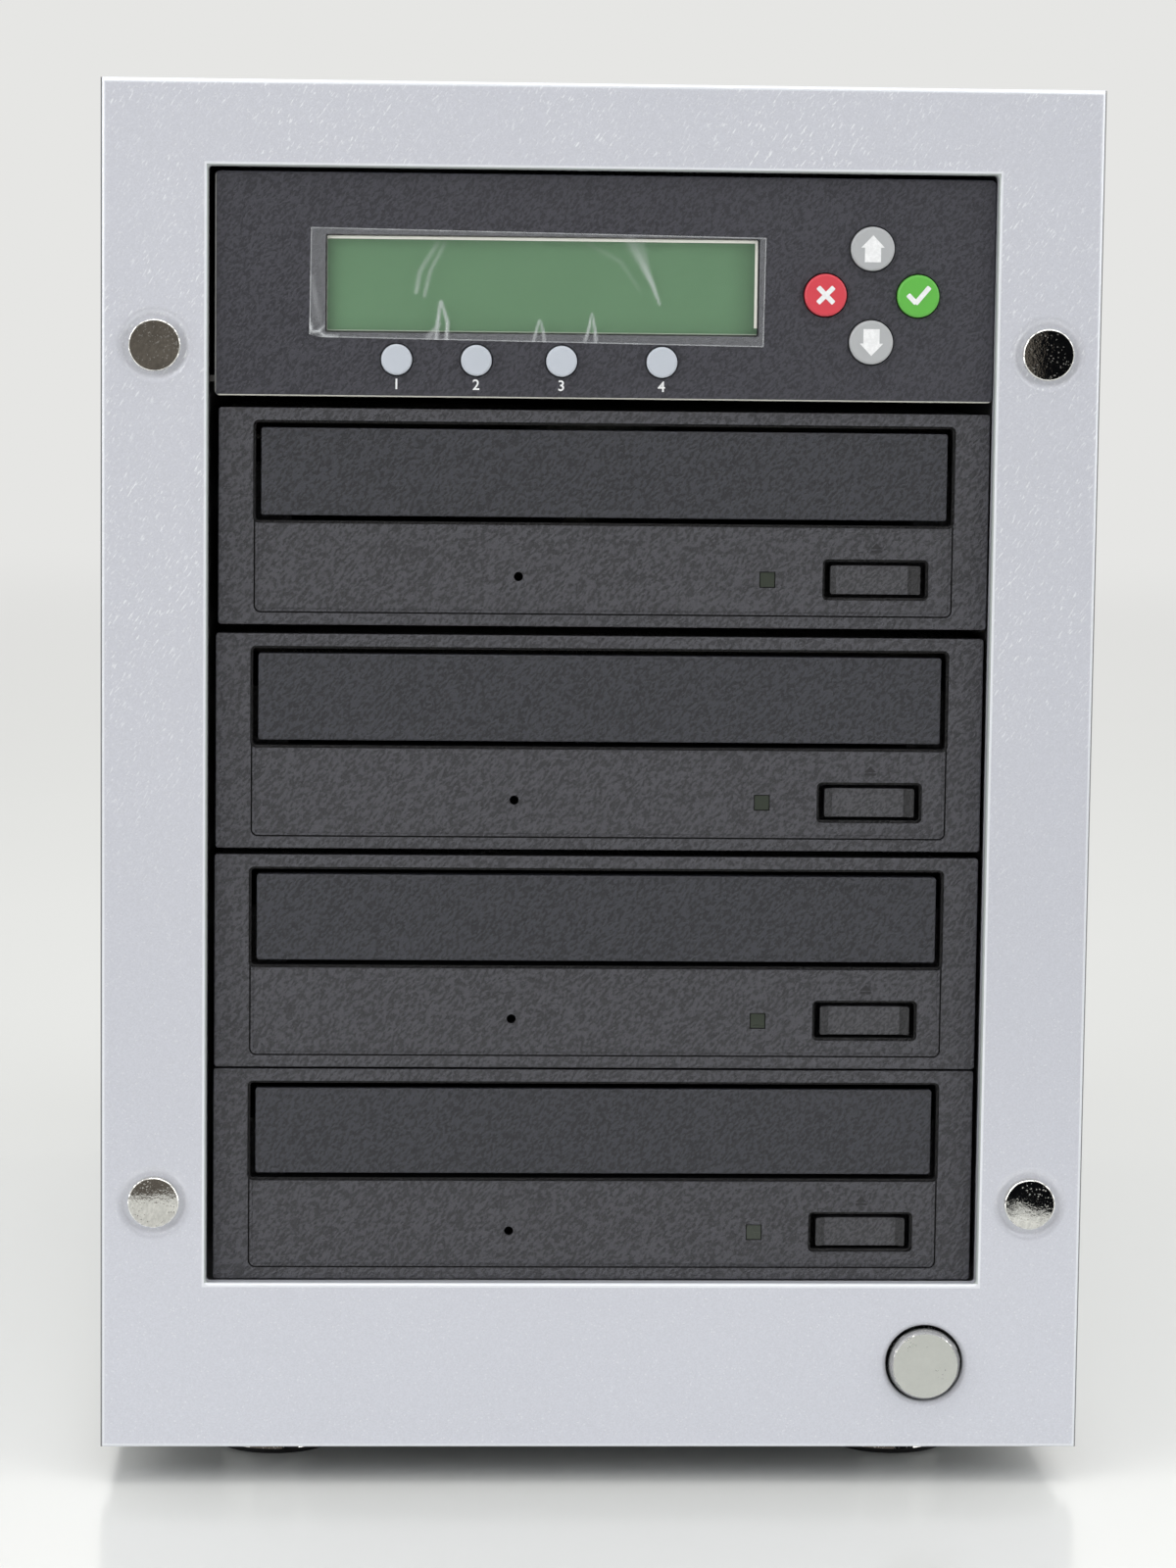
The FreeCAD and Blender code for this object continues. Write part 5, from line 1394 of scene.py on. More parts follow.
class Bench:
    """Blender's own modelling operators, used as by hand."""

    @staticmethod
    def clear() -> None:
        """Deselect every object."""
        if bpy.context.object and bpy.context.object.mode != "OBJECT":
            bpy.ops.object.mode_set(mode="OBJECT")
        bpy.ops.object.select_all(action="DESELECT")

    @staticmethod
    def take(piece: Piece, others: Sequence[Piece] = ()) -> None:
        """Select one object and make it active, with others beside it.

        Args:
            piece: The object.
            others: Objects that are selected too.
        """
        Bench.clear()
        for other in (*others, piece):
            other.select_set(True)
        bpy.context.view_layer.objects.active = piece

    @staticmethod
    def start(name: str, add: Callable[..., Any], **settings: Any) -> Piece:
        """Add a primitive and name it.

        Args:
            name: Name of the object and its mesh.
            add: Operator that adds the primitive.
            settings: The operator's own settings.

        Returns:
            The new object, alone and selected.
        """
        Bench.clear()
        add(**settings)
        piece = bpy.context.object
        piece.name = piece.data.name = name
        return piece

    @staticmethod
    def pick(piece: Piece, test: Callable[[Vector], bool]) -> None:
        """Select a mesh's points by their place, and what they fully hold.

        Args:
            piece: Object of the mesh, left open for editing.
            test: Whether a point at a place is selected.
        """
        bpy.ops.object.mode_set(mode="OBJECT")
        mesh = piece.data
        for vertex in mesh.vertices:
            vertex.select = test(vertex.co)
        for edge in mesh.edges:
            edge.select = all(mesh.vertices[index].select for index in edge.vertices)
        for face in mesh.polygons:
            face.select = all(mesh.vertices[index].select for index in face.vertices)
        bpy.ops.object.mode_set(mode="EDIT")

    @staticmethod
    def edit(piece: Piece, mode: str = "VERT") -> None:
        """Open a mesh for editing with everything selected.

        Args:
            piece: Object of the mesh.
            mode: Kind of element that the operators act on.
        """
        Bench.take(piece)
        bpy.ops.object.mode_set(mode="EDIT")
        bpy.ops.mesh.select_mode(type=mode)
        bpy.ops.mesh.select_all(action="SELECT")

    @staticmethod
    def modify(piece: Piece, kind: str, **settings: Any) -> None:
        """Add a modifier, set it and apply it.

        Args:
            piece: The object.
            kind: The modifier's type.
            settings: Its properties.
        """
        Bench.take(piece)
        modifier = piece.modifiers.new(kind.title(), kind)
        for key, value in settings.items():
            setattr(modifier, key, value)
        bpy.ops.object.modifier_apply(modifier=modifier.name)

    @staticmethod
    def settle(piece: Piece) -> None:
        """Put an object at the origin with its place in its mesh."""
        Bench.take(piece)
        bpy.ops.object.transform_apply(location=True, rotation=True, scale=True)

    @staticmethod
    def outward(piece: Piece) -> None:
        """Merge a piece's doubled points and turn its faces outwards."""
        Bench.edit(piece)
        bpy.ops.mesh.remove_doubles(threshold=WELD)
        bpy.ops.mesh.normals_make_consistent(inside=False)
        bpy.ops.object.mode_set(mode="OBJECT")

    @staticmethod
    def smooth(piece: Piece, degrees: float = 35.0) -> None:
        """Shade smoothly, with sharp edges above an angle."""
        Bench.take(piece)
        bpy.ops.object.shade_smooth_by_angle(angle=math.radians(degrees))

    @staticmethod
    def join(pieces: Sequence[Piece], name: str) -> Piece:
        """Join pieces into the first one.

        Args:
            pieces: The pieces.
            name: Name of the joined piece.

        Returns:
            The joined piece.
        """
        Bench.take(pieces[0], pieces[1:])
        bpy.ops.object.join()
        pieces[0].name = pieces[0].data.name = name
        return pieces[0]

    @staticmethod
    def finish(piece: Piece, body: str, material: bpy.types.Material, slot: str) -> None:
        """Dress a piece, hang it on its body and report it.

        Args:
            piece: The piece.
            body: Body that it rides on.
            material: Its material.
            slot: Name of its material slot; not used.
        """
        piece.data.materials.clear()
        piece.data.materials.append(material)
        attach(piece, body)
        LOG.info("piece %s on %s: %d faces", piece.name, body, len(piece.data.polygons))


def corners(node: str) -> tuple[Vector, Vector]:
    """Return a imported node's lowest and highest corner at rest."""
    low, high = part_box(node)
    return Vector(low), Vector(high)


def middle(node: str) -> Vector:
    """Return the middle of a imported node's box."""
    low, high = corners(node)
    return (low + high) / 2


SLOTS = {part["node"]: part["material_slot"] for part in frame["record"]["subparts"]}


class Assembly:
    """What every sub-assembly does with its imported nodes."""

    # Largest angles between faces of one flat and between smoothly shaded ones, in degrees.
    FLAT_ANGLE = 0.3
    SOFT_ANGLE = 32.0
    FULL_WEIGHT = 100

    def dress(self, finish: Finish, *nodes: str) -> None:
        """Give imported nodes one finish.

        Args:
            finish: The finish.
            nodes: Names of the nodes.
        """
        material = finish.material()
        for node in nodes:
            for place in frame["nodes"][node].material_slots:
                place.material = material
            LOG.info("node %s: %s", node, finish.name)

    def skin(self, finish: Finish, *nodes: str) -> None:
        """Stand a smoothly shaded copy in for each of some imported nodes.

        Args:
            finish: Finish of the copies.
            nodes: Names of the nodes.
        """
        material = finish.material()
        for node in nodes:
            source = frame["nodes"][node]
            copy = bpy.data.objects.new(node + "_skin", source.data.copy())
            bpy.context.scene.collection.objects.link(copy)
            Bench.edit(copy)
            bpy.ops.mesh.remove_doubles(threshold=WELD)
            bpy.ops.mesh.dissolve_limited(angle_limit=math.radians(self.FLAT_ANGLE))
            bpy.ops.object.mode_set(mode="OBJECT")
            Bench.smooth(copy, self.SOFT_ANGLE)
            settings = {"keep_sharp": True, "weight": self.FULL_WEIGHT, "mode": "FACE_AREA"}
            Bench.modify(copy, "WEIGHTED_NORMAL", **settings)
            Bench.finish(copy, source["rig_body"], material, SLOTS[node])
            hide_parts(node)


@dataclass
class Marks:
    """Flat printed marks that face the front.

    Attributes:
        ink: Finish of the marks.
        proud: Thickness of the print.
        rounding: Corner radius as a share of a stroke's width.
        stroke_width: Width of a stroke on a key.
        stroke_layer: Depth between strokes that cross.
        stem_half: Half the width of an arrow's stem.
        head_half: Half the width of its head.
        head: Length of its head.
        stem: Length of its stem.
        shoulder: Length over which the stem widens into the head.
        digit_share: Height of a digit as a share of the letters' size.
        digit_weight: Thickening of a digit as a share of its height.
        eject_width: Width of the eject symbol.
        eject_rise: Height of its triangle.
        eject_bar: Thickness of its bar.
        eject_drop: Drop from its middle to the bar's.
        eject_gap: Drop from its middle to the triangle.
    """

    ink: Finish
    proud: float = 0.05 * MM
    rounding: float = 0.18
    stroke_width: float = 0.95 * MM
    stroke_layer: float = 0.01 * MM
    stem_half: float = 1.55 * MM
    head_half: float = 2.25 * MM
    head: float = 2.35 * MM
    stem: float = 2.75 * MM
    shoulder: float = 0.02 * MM
    digit_share: float = 0.69
    digit_weight: float = 0.018
    eject_width: float = 2.2 * MM
    eject_rise: float = 1.15 * MM
    eject_bar: float = 0.42 * MM
    eject_drop: float = 0.55 * MM
    eject_gap: float = 0.1 * MM

    def __post_init__(self) -> None:
        """Make the ink's material once."""
        self.material = self.ink.material()

    def _raise(self, piece: Piece, face: float) -> None:
        """Give an outline its thickness and set it on a face that looks along -Y.

        Args:
            piece: The outline, flat at Y zero.
            face: Place of the face along Y.
        """
        Bench.edit(piece, "FACE")
        bpy.ops.mesh.extrude_region_move(TRANSFORM_OT_translate={"value": (0, -self.proud, 0)})
        bpy.ops.object.mode_set(mode="OBJECT")
        Bench.outward(piece)
        piece.location = (0, face, 0)
        Bench.settle(piece)

    def _slab(self, name: str, centre: Point, size: Point, turn: float) -> Piece:
        """Make a flat rounded slab that stands upright.

        Args:
            name: Name of the slab.
            centre: Its middle, X and Z.
            size: Its width and height before it is turned.
            turn: Its turn about Y in radians.

        Returns:
            The slab.
        """
        slab = Bench.start(name, bpy.ops.mesh.primitive_plane_add, size=1.0, rotation=UPRIGHT)
        slab.scale = (size[0], size[1], 1)
        Bench.settle(slab)
        Bench.edit(slab)
        bpy.ops.mesh.bevel(offset=min(size) * self.rounding, segments=2, affect="VERTICES")
        bpy.ops.object.mode_set(mode="OBJECT")
        slab.rotation_euler = (0, turn, 0)
        slab.location = (centre[0], 0, centre[1])
        Bench.settle(slab)
        return slab

    def arrow(self, name: str, node: str, body: str, way: Pointing) -> None:
        """Print an arrow on a key.

        Args:
            name: Name of the mark.
            node: Key that carries it.
            body: Body that the key rides on.
            way: Way that it points.
        """
        low, high = corners(node)
        centre = (low + high) / 2
        mark = Bench.start(name, bpy.ops.mesh.primitive_plane_add, size=1.0, rotation=UPRIGHT)
        mark.scale = (2 * self.stem_half, self.stem, 1)
        Bench.settle(mark)
        Bench.edit(mark)
        Bench.pick(mark, lambda point: point.z > 0)
        bpy.ops.mesh.extrude_region_move(TRANSFORM_OT_translate={"value": (0, 0, self.shoulder)})
        bpy.ops.transform.resize(value=(self.head_half / self.stem_half, 1, 1))
        bpy.ops.mesh.extrude_region_move(TRANSFORM_OT_translate={"value": (0, 0, self.head)})
        bpy.ops.mesh.merge(type="CENTER")
        bpy.ops.mesh.select_all(action="SELECT")
        bpy.ops.transform.translate(value=(0, 0, -self.head / 2))
        bpy.ops.object.mode_set(mode="OBJECT")
        mark.rotation_euler = (0, way.value, 0)
        mark.location = (centre.x, 0, centre.z)
        Bench.settle(mark)
        self._raise(mark, low.y)
        Bench.finish(mark, body, self.material, "key_pale")

    def strokes(self, name: str, node: str, body: str, lines: Sequence[Four]) -> None:
        """Print straight strokes on a key.

        Args:
            name: Name of the mark.
            node: Key that carries it.
            body: Body that the key rides on.
            lines: Each stroke's middle, across and up, its length and its turn.
        """
        low, high = corners(node)
        centre = (low + high) / 2
        parts = []
        for index, (across, rise, length, turn) in enumerate(lines):
            place = (centre.x + across, centre.z + rise)
            part = self._slab(name + str(index), place, (length, self.stroke_width), turn)
            part.location = (0, -self.stroke_layer * index, 0)
            Bench.settle(part)
            parts.append(part)
        for part in parts:
            self._raise(part, low.y)
        mark = Bench.join(parts, name)
        Bench.finish(mark, body, self.material, "key_pale")

    def number(self, name: str, text: str, centre: Point, face: float, height: float) -> None:
        """Print a number on the control panel's face.

        Args:
            name: Name of the mark.
            text: The number.
            centre: Its middle, X and Z.
            face: Place of the face along Y.
            height: Height of the digits.
        """
        place = (centre[0], 0, centre[1])
        mark = Bench.start(name, bpy.ops.object.text_add, rotation=UPRIGHT, location=place)
        letters = mark.data
        letters.body, letters.align_x, letters.align_y = text, "CENTER", "CENTER"
        letters.size = height / self.digit_share
        letters.offset = height * self.digit_weight
        letters.extrude = self.proud / 2
        Bench.take(mark)
        bpy.ops.object.convert(target="MESH")
        mark = bpy.context.object
        mark.name = mark.data.name = name
        Bench.settle(mark)
        mark.location = (0, face - self.proud / 2, 0)
        Bench.settle(mark)
        Bench.outward(mark)
        Bench.finish(mark, "tower", self.material, "key_pale")

    def eject(self, name: str, centre: Point, face: float) -> None:
        """Print an eject symbol, a triangle over a bar.

        Args:
            name: Name of the mark.
            centre: Its middle, X and Z.
            face: Place of the face along Y.
        """
        mark = Bench.start(name, bpy.ops.mesh.primitive_circle_add, vertices=3, radius=1.0,
                           fill_type="NGON", rotation=UPRIGHT)
        Bench.settle(mark)
        size = mark.dimensions
        mark.scale = (self.eject_width / size.x, 1, self.eject_rise / size.z)
        Bench.settle(mark)
        low = min(point.co.z for point in mark.data.vertices)
        mark.location = (centre[0], 0, centre[1] - low - self.eject_gap)
        Bench.settle(mark)
        place = (centre[0], centre[1] - self.eject_drop)
        bar = self._slab(name + "_bar", place, (self.eject_width, self.eject_bar), 0.0)
        for part in (mark, bar):
            self._raise(part, face)
        mark = Bench.join((mark, bar), name)
        Bench.finish(mark, "tower", self.material, "bezel_plastic")


@dataclass(frozen=True)
class Crease:
    """Crease in the window film.

    Attributes:
        points: Its course: each point's place along and up the film, both from zero to one,
            the crease's reach to each side there in millimetres, and its strength there.
    """

    points: tuple[Four, ...]

    # Power that makes a crease's crest narrower than its foot.
    CREST = 1.6

    def lift(self, along: float, up: float, size: Point) -> float:
        """Return how much this crease lifts one place of the film.

        Args:
            along: Place along the film, from zero to one.
            up: Place up the film, from zero to one.
            size: Width and height of the film.

        Returns:
            The lift, from zero to one.
        """
        best = 0.0
        here = Vector((along * size[0], up * size[1]))
        for first, last in zip(self.points, self.points[1:]):
            start = Vector((first[0] * size[0], first[1] * size[1]))
            run = Vector((last[0] * size[0], last[1] * size[1])) - start
            share = max(0.0, min(1.0, (here - start).dot(run) / run.length_squared))
            reach = (first[2] + (last[2] - first[2]) * share) * MM
            away = (here - start - run * share).length
            if away < reach:
                strength = first[3] + (last[3] - first[3]) * share
                profile = (1 + math.cos(math.pi * away / reach)) / 2
                best = max(best, strength * profile ** self.CREST)
        return best


@dataclass
class ControlPanel(Assembly):
    """Control panel: bezel, display with its film, keys and their marks.

    Attributes:
        label_drop: Distance from a hot key's middle down to its number.
        label_height: Height of the numbers.
        film_turn: Turn of the film clockwise, in radians.
        film_bulge: Height of the film's largest crease.
        film_gap: Space kept under the film.
        film_cell: Distance between two points of the film.
        film_sheet: Thickness of the film.
        film_angle: Largest smoothly shaded angle, in degrees.
        ripple: Widths of the film's faint ripple, across and up.
        ripple_sway: Its sideways stray, in radians.
        ripple_share: Its height as a share of the largest crease.
        curl: Length of the film's lifted corner.
        curl_share: Its height as a share of the largest crease.
        curl_rise: Its move upwards.
        cross_length: Length of the cross's strokes.
        hot_keys: Number of hot keys.
        board_inset: Distance from the key board's rear point forward to its front face.
        window_low: Lower left corner of the display's window, X and Z.
        window_high: Its upper right corner.
        creases: The film's creases.
    """

    label_drop: float = 4.75 * MM
    label_height: float = 1.95 * MM
    film_turn: float = math.radians(0.67)
    film_bulge: float = 0.45 * MM
    film_gap: float = 0.04 * MM
    film_cell: float = 0.34 * MM
    film_sheet: float = 0.05 * MM
    film_angle: float = 60.0
    ripple: Point = (2.1 * MM, 3.3 * MM)
    ripple_sway: float = 2.0
    ripple_share: float = 0.06
    curl: float = 3.4 * MM
    curl_share: float = 1.6
    curl_rise: float = 0.5 * MM
    cross_length: float = 4.3 * MM
    hot_keys: int = 4
    board_inset: float = 1.6 * MM
    window_low: Point = (-53.0 * MM, 224.2 * MM)
    window_high: Point = (29.8 * MM, 242.8 * MM)
    creases: tuple[Crease, ...] = (
        Crease(((0.276, 0.87, 1.0, 0.12), (0.240, 0.62, 0.9, 0.26), (0.233, 0.43, 0.8, 0.36))),
        Crease(((0.292, 0.87, 0.8, 0.12), (0.263, 0.63, 0.8, 0.24), (0.251, 0.40, 0.7, 0.32))),
        Crease(((0.286, 0.35, 0.5, 0.60), (0.282, 0.18, 0.6, 0.85), (0.278, 0.00, 0.7, 0.70))),
        Crease(((0.284, 0.14, 0.8, 0.40), (0.262, 0.02, 1.2, 0.35))),
        Crease(((0.288, 0.35, 0.5, 0.60), (0.303, 0.16, 0.6, 0.85), (0.301, 0.00, 0.6, 0.70))),
        Crease(((0.504, 0.20, 0.4, 0.45), (0.498, 0.10, 0.5, 0.70), (0.492, 0.00, 0.6, 0.45))),
        Crease(((0.506, 0.20, 0.4, 0.45), (0.513, 0.10, 0.5, 0.70), (0.516, 0.00, 0.6, 0.45))),
        Crease(((0.619, 0.27, 0.4, 0.50), (0.613, 0.12, 0.5, 0.80), (0.606, 0.02, 0.6, 0.60))),
        Crease(((0.620, 0.27, 0.4, 0.50), (0.627, 0.12, 0.5, 0.80), (0.630, 0.02, 0.6, 0.60))),
        Crease(((0.700, 0.95, 2.4, 0.12), (0.727, 0.75, 1.5, 0.42), (0.750, 0.56, 0.8, 0.72),
                (0.768, 0.37, 0.4, 0.60))),
        Crease(((0.724, 0.92, 1.6, 0.10), (0.742, 0.66, 0.7, 0.30), (0.750, 0.56, 0.5, 0.40))),
        Crease(((0.610, 0.90, 0.9, 0.04), (0.680, 0.75, 0.9, 0.10), (0.722, 0.50, 0.7, 0.08))),
        Crease(((0.000, 0.16, 0.4, 0.50), (0.006, 0.04, 0.5, 0.95), (0.020, 0.05, 0.5, 1.00),
                (0.032, 0.10, 0.4, 0.55))),
        Crease(((0.022, 0.05, 0.5, 0.90), (0.034, 0.01, 0.5, 0.95), (0.062, 0.01, 0.4, 0.50))),
        Crease(((0.004, 0.55, 0.8, 0.10), (0.012, 0.35, 1.0, 0.22), (0.022, 0.16, 0.8, 0.12))),
    )

    def build(self) -> None:
        """Dress the panel's nodes, then make its marks and its film."""
        low = corners("control_bezel")[0]
        bezel = PrintedPanel("plastic_panel", (60, 60, 67), 0.46, grain=0.42 * MM, depth=0.06 * MM,
                             contrast=0.38, low=(low.x, low.z))
        self.skin(bezel, "control_bezel")
        self.skin(SmoothPlastic("key_grey", (176, 178, 180), 0.42), "key_up", "key_down")
        self.skin(SmoothPlastic("key_red", (212, 68, 80), 0.38), "key_cancel")
        self.skin(SmoothPlastic("key_green", (98, 182, 74), 0.38), "key_confirm")
        hot = (f"key_{number}" for number in range(1, self.hot_keys + 1))
        self.skin(SmoothPlastic("key_pale", (189, 195, 204), 0.42), *hot)
        window = {"low": self.window_low, "high": self.window_high}
        self.dress(DisplayGlass("display_green", (101, 137, 104), 0.30, **window), "display_module")
        face = corners("key_board")[1].y - self.board_inset
        board = CircuitBoard("board_keys", (24, 92, 52), 0.35, axis=Axis.Y, face=face, turned=True)
        self.dress(board, "key_board")
        self.marks()
        self.film()

    def marks(self) -> None:
        """Print the arrows, the cross, the tick and the numbers."""
        white = Marks(Ink("ink_white", (240, 241, 242), 0.45))
        white.arrow("mark_up", "key_up", "key_up_cap", Pointing.UP)
        white.arrow("mark_down", "key_down", "key_down_cap", Pointing.DOWN)
        cross = [(0, 0, self.cross_length, math.radians(turn)) for turn in (45, -45)]
        white.strokes("mark_cancel", "key_cancel", "key_cancel_cap", cross)
        tick = [(-1.25 * MM, -0.55 * MM, 2.3 * MM, math.radians(45)),
                (0.75 * MM, 0.15 * MM, 4.2 * MM, math.radians(-50))]
        white.strokes("mark_confirm", "key_confirm", "key_confirm_cap", tick)
        face = corners("control_bezel")[0].y
        for number in range(1, self.hot_keys + 1):
            key = middle(f"key_{number}")
            place = (key.x, key.z - self.label_drop)
            white.number(f"label_{number}", str(number), place, face, self.label_height)

    def film(self) -> None:
        """Lay the protective film over the display, with its creases and lifted corner."""
        low, high = corners("display_film")
        width, height = high.x - low.x, high.z - low.z
        centre = ((low.x + high.x) / 2, (low.z + high.z) / 2)
        film = Bench.start("window_film", bpy.ops.mesh.primitive_grid_add, size=1.0,
                           x_subdivisions=round(width / self.film_cell),
                           y_subdivisions=round(height / self.film_cell), rotation=UPRIGHT)
        film.scale = (width, height, 1)
        Bench.settle(film)
        mark = film.data.attributes.new(CREASE, "FLOAT", "POINT")
        for vertex in film.data.vertices:
            along, up = 0.5 + vertex.co.x / width, 0.5 + vertex.co.z / height
            lift = max(crease.lift(along, up, (width, height)) for crease in self.creases)
            sway = self.ripple_sway * math.sin(vertex.co.z / self.ripple[1])
            ripple = (1 + math.sin(vertex.co.x / self.ripple[0] + sway)) / 2
            corner = max(0.0, 1.0 - (along * width + up * height) / self.curl) ** 2
            rise = lift + self.ripple_share * ripple + self.curl_share * corner
            vertex.co.y -= rise * self.film_bulge
            vertex.co.z += corner * self.curl_rise
            # The crease attribute carries each crease's lift to the film's painted highlight.
            mark.data[vertex.index].value = lift
        film.rotation_euler = (0, self.film_turn, 0)
        film.location = (centre[0], high.y - self.film_gap, centre[1])
        Bench.settle(film)
        Bench.modify(film, "SOLIDIFY", thickness=self.film_sheet, offset=1.0)
        Bench.smooth(film, self.film_angle)
        half = (width / 2, height / 2)
        finish = ClearFilm("film_clear", (228, 231, 234), 0.14, centre=centre, half=half,
                           turn=self.film_turn, low=self.window_low, high=self.window_high)
        Bench.finish(film, "tower", finish.material(), "clear_film")
        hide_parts("display_film")


@dataclass
class DriveStack(Assembly):
    """The four drives, with their marks.

    Attributes:
        count: Number of drives.
        mark_rise: Height of the eject symbol above the drive's lower edge.
        mark_offset: Distance from the eject button's middle across to the symbol.
        table_rise: Height of the turntable's top above the spindle's lowest point.
        button_slope: Width of the slope at each end of an eject button.
    """

    count: int = 4
    mark_rise: float = 15.6 * MM
    mark_offset: float = 0.1 * MM
    table_rise: float = 21.55 * MM
    button_slope: float = 1.75 * MM

    def build(self) -> None:
        """Dress the drives and print the eject symbol over each eject button."""
        numbers = range(1, self.count + 1)
        bezel = BezelPlastic("plastic_bezel", (64, 64, 69), 0.50, face=corners("drive_bezel_1")[0].y)
        self.skin(bezel, *(f"drive_bezel_{number}" for number in numbers))
        tray = GrainPlastic("plastic_tray", (50, 51, 57), 0.46, grain=0.46 * MM, depth=0.13 * MM)
        self.skin(tray, *(f"drive_tray_{number}" for number in numbers))
        low, high = (corner.x for corner in corners("eject_button_1"))
        flat = {"low": low + self.button_slope, "high": high - self.button_slope}
        grain = {"grain": 0.44 * MM, "depth": 0.11 * MM, "contrast": 0.50}
        button = ButtonPlastic("plastic_button", (68, 68, 72), 0.46, **grain, **flat)
        self.skin(button, *(f"eject_button_{number}" for number in numbers))
        case = SheetSteel("steel_case", (188, 189, 190), 0.30, spangle=30 * MM, contrast=0.04)
        self.dress(case, *(f"drive_case_{number}" for number in numbers))
        sled = SheetSteel("metal_sled", (128, 129, 131), 0.50, spangle=2 * MM)
        self.dress(sled, *(f"pickup_sled_{number}" for number in numbers))
        self.dress(GrainPlastic("plastic_deck", (44, 44, 46), 0.60), "drive_decks")
        self.dress(SmoothPlastic("lamp_lens", (58, 64, 56), 0.28, coat=0.3), "drive_lamps")
        for number in numbers:
            low, high = corners(f"drive_spindle_{number}")
            centre = ((low.x + high.x) / 2, (low.y + high.y) / 2)
            name = f"metal_spindle_{number}"
            table = low.z + self.table_rise
            metal = SpindleMetal(name, (186, 187, 188), 0.25, table=table, centre=centre)
            self.skin(metal, f"drive_spindle_{number}")
        dark = Marks(Ink("ink_dark", (44, 44, 47), 0.6), proud=0.03 * MM)
        for number in numbers:
            low = corners(f"drive_bezel_{number}")[0]
            button = middle(f"eject_button_{number}")
            centre = (button.x + self.mark_offset, low.z + self.mark_rise)
            dark.eject(f"eject_mark_{number}", centre, low.y)


@dataclass
class Shell(Assembly):
    """Front panel, trim bolts, cover, rear panel, base and feet.

    Attributes:
        silver: Colour of the front panel's paint as seen.
        grey: Colour of the cover's paint as seen.
        mouth_low: Lower left corner of the panel's opening, X and Z.
        mouth_high: Its upper right corner.
    """

    silver: Tone = (214, 216, 225)
    grey: Tone = (188, 191, 198)
    mouth_low: Point = (-75.15 * MM, 40.2 * MM)
    mouth_high: Point = (75.15 * MM, 255.3 * MM)

    def build(self) -> None:
        """Dress the shell."""
        low, high = corners("front_panel")
        panel = PanelPaint("paint_silver", self.silver, 0.40, 0.22, low=(low.x, low.z),
                           high=(high.x, high.z), mouth_low=self.mouth_low,
                           mouth_high=self.mouth_high, front=low.y)
        self.skin(panel, "front_panel")
        cover = FlakePaint("paint_cover", self.grey, 0.52, 0.20, peel=1.0 * MM, peel_depth=0.03 * MM)
        self.skin(cover, "cover")
        self.skin(PlatedMetal("chrome_bolts", (236, 235, 230), 0.02), "panel_bolts")
        self.skin(PlatedMetal("chrome_cups", (230, 229, 225), 0.04), "foot_cups")
        self.skin(Rubber("rubber_foot", (26, 26, 27), 0.85), "foot_pads")
        zinc = SheetSteel("steel_zinc", (176, 178, 180), 0.38)
        self.dress(zinc, "chassis_base", "rear_panel", "drive_cage")
        self.skin(SheetSteel("steel_screw", (170, 171, 174), 0.32, spangle=1.5 * MM), "case_screws")


@dataclass
class PowerParts(Assembly):
    """Power button, power supply, fans, inlet and switch.

    Attributes:
        inlet_height: Height of the inlet's middle above the floor.
        board_rise: Height of the supply board's upper face above its lowest solder point.
    """

    inlet_height: float = 236.0 * MM
    board_rise: float = 7.6 * MM

    def build(self) -> None:
        """Dress the power parts."""
        button = middle("power_button")
        metal = ButtonMetal("button_metal", (214, 213, 209), 0.04, centre=(button.x, button.z))
        self.skin(metal, "power_button")
        self.dress(SmoothPlastic("plastic_housing", (34, 34, 36), 0.45), "button_housing")
        self.dress(SheetSteel("steel_supply", (182, 183, 184), 0.34), "supply_case")
        fittings = middle("mains_fittings")
        centre = (fittings.x, self.inlet_height)
        self.skin(InletPlastic("plastic_inlet", (34, 34, 36), 0.40, centre=centre), "mains_fittings")
        self.skin(SmoothPlastic("plastic_rocker", (30, 30, 32), 0.25, coat=0.3), "power_rocker")
        face = corners("supply_board")[0].z + self.board_rise
        board = CircuitBoard("board_supply", (120, 92, 52), 0.45, face=face, part_tone=(60, 62, 66))
        self.dress(board, "supply_board")
        fans = SmoothPlastic("plastic_fan", (38, 38, 40), 0.45)
        self.skin(fans, "fan_frames", "supply_fan_rotor", "case_fan_rotor")
        self.skin(PlatedMetal("wire_plated", (196, 197, 198), 0.18), "fan_grilles")


@dataclass
class Wiring(Assembly):
    """Control board and cables.

    Attributes:
        board_rise: Height of the control board's upper face above its lowest solder point.
    """

    board_rise: float = 6.6 * MM

    def build(self) -> None:
        """Dress the board and the cables."""
        face = corners("control_board")[0].z + self.board_rise
        self.dress(CircuitBoard("board_control", (24, 92, 52), 0.35, face=face), "control_board")
        self.dress(CableSet("cable_set", (150, 153, 158), 0.55), "inner_cables")


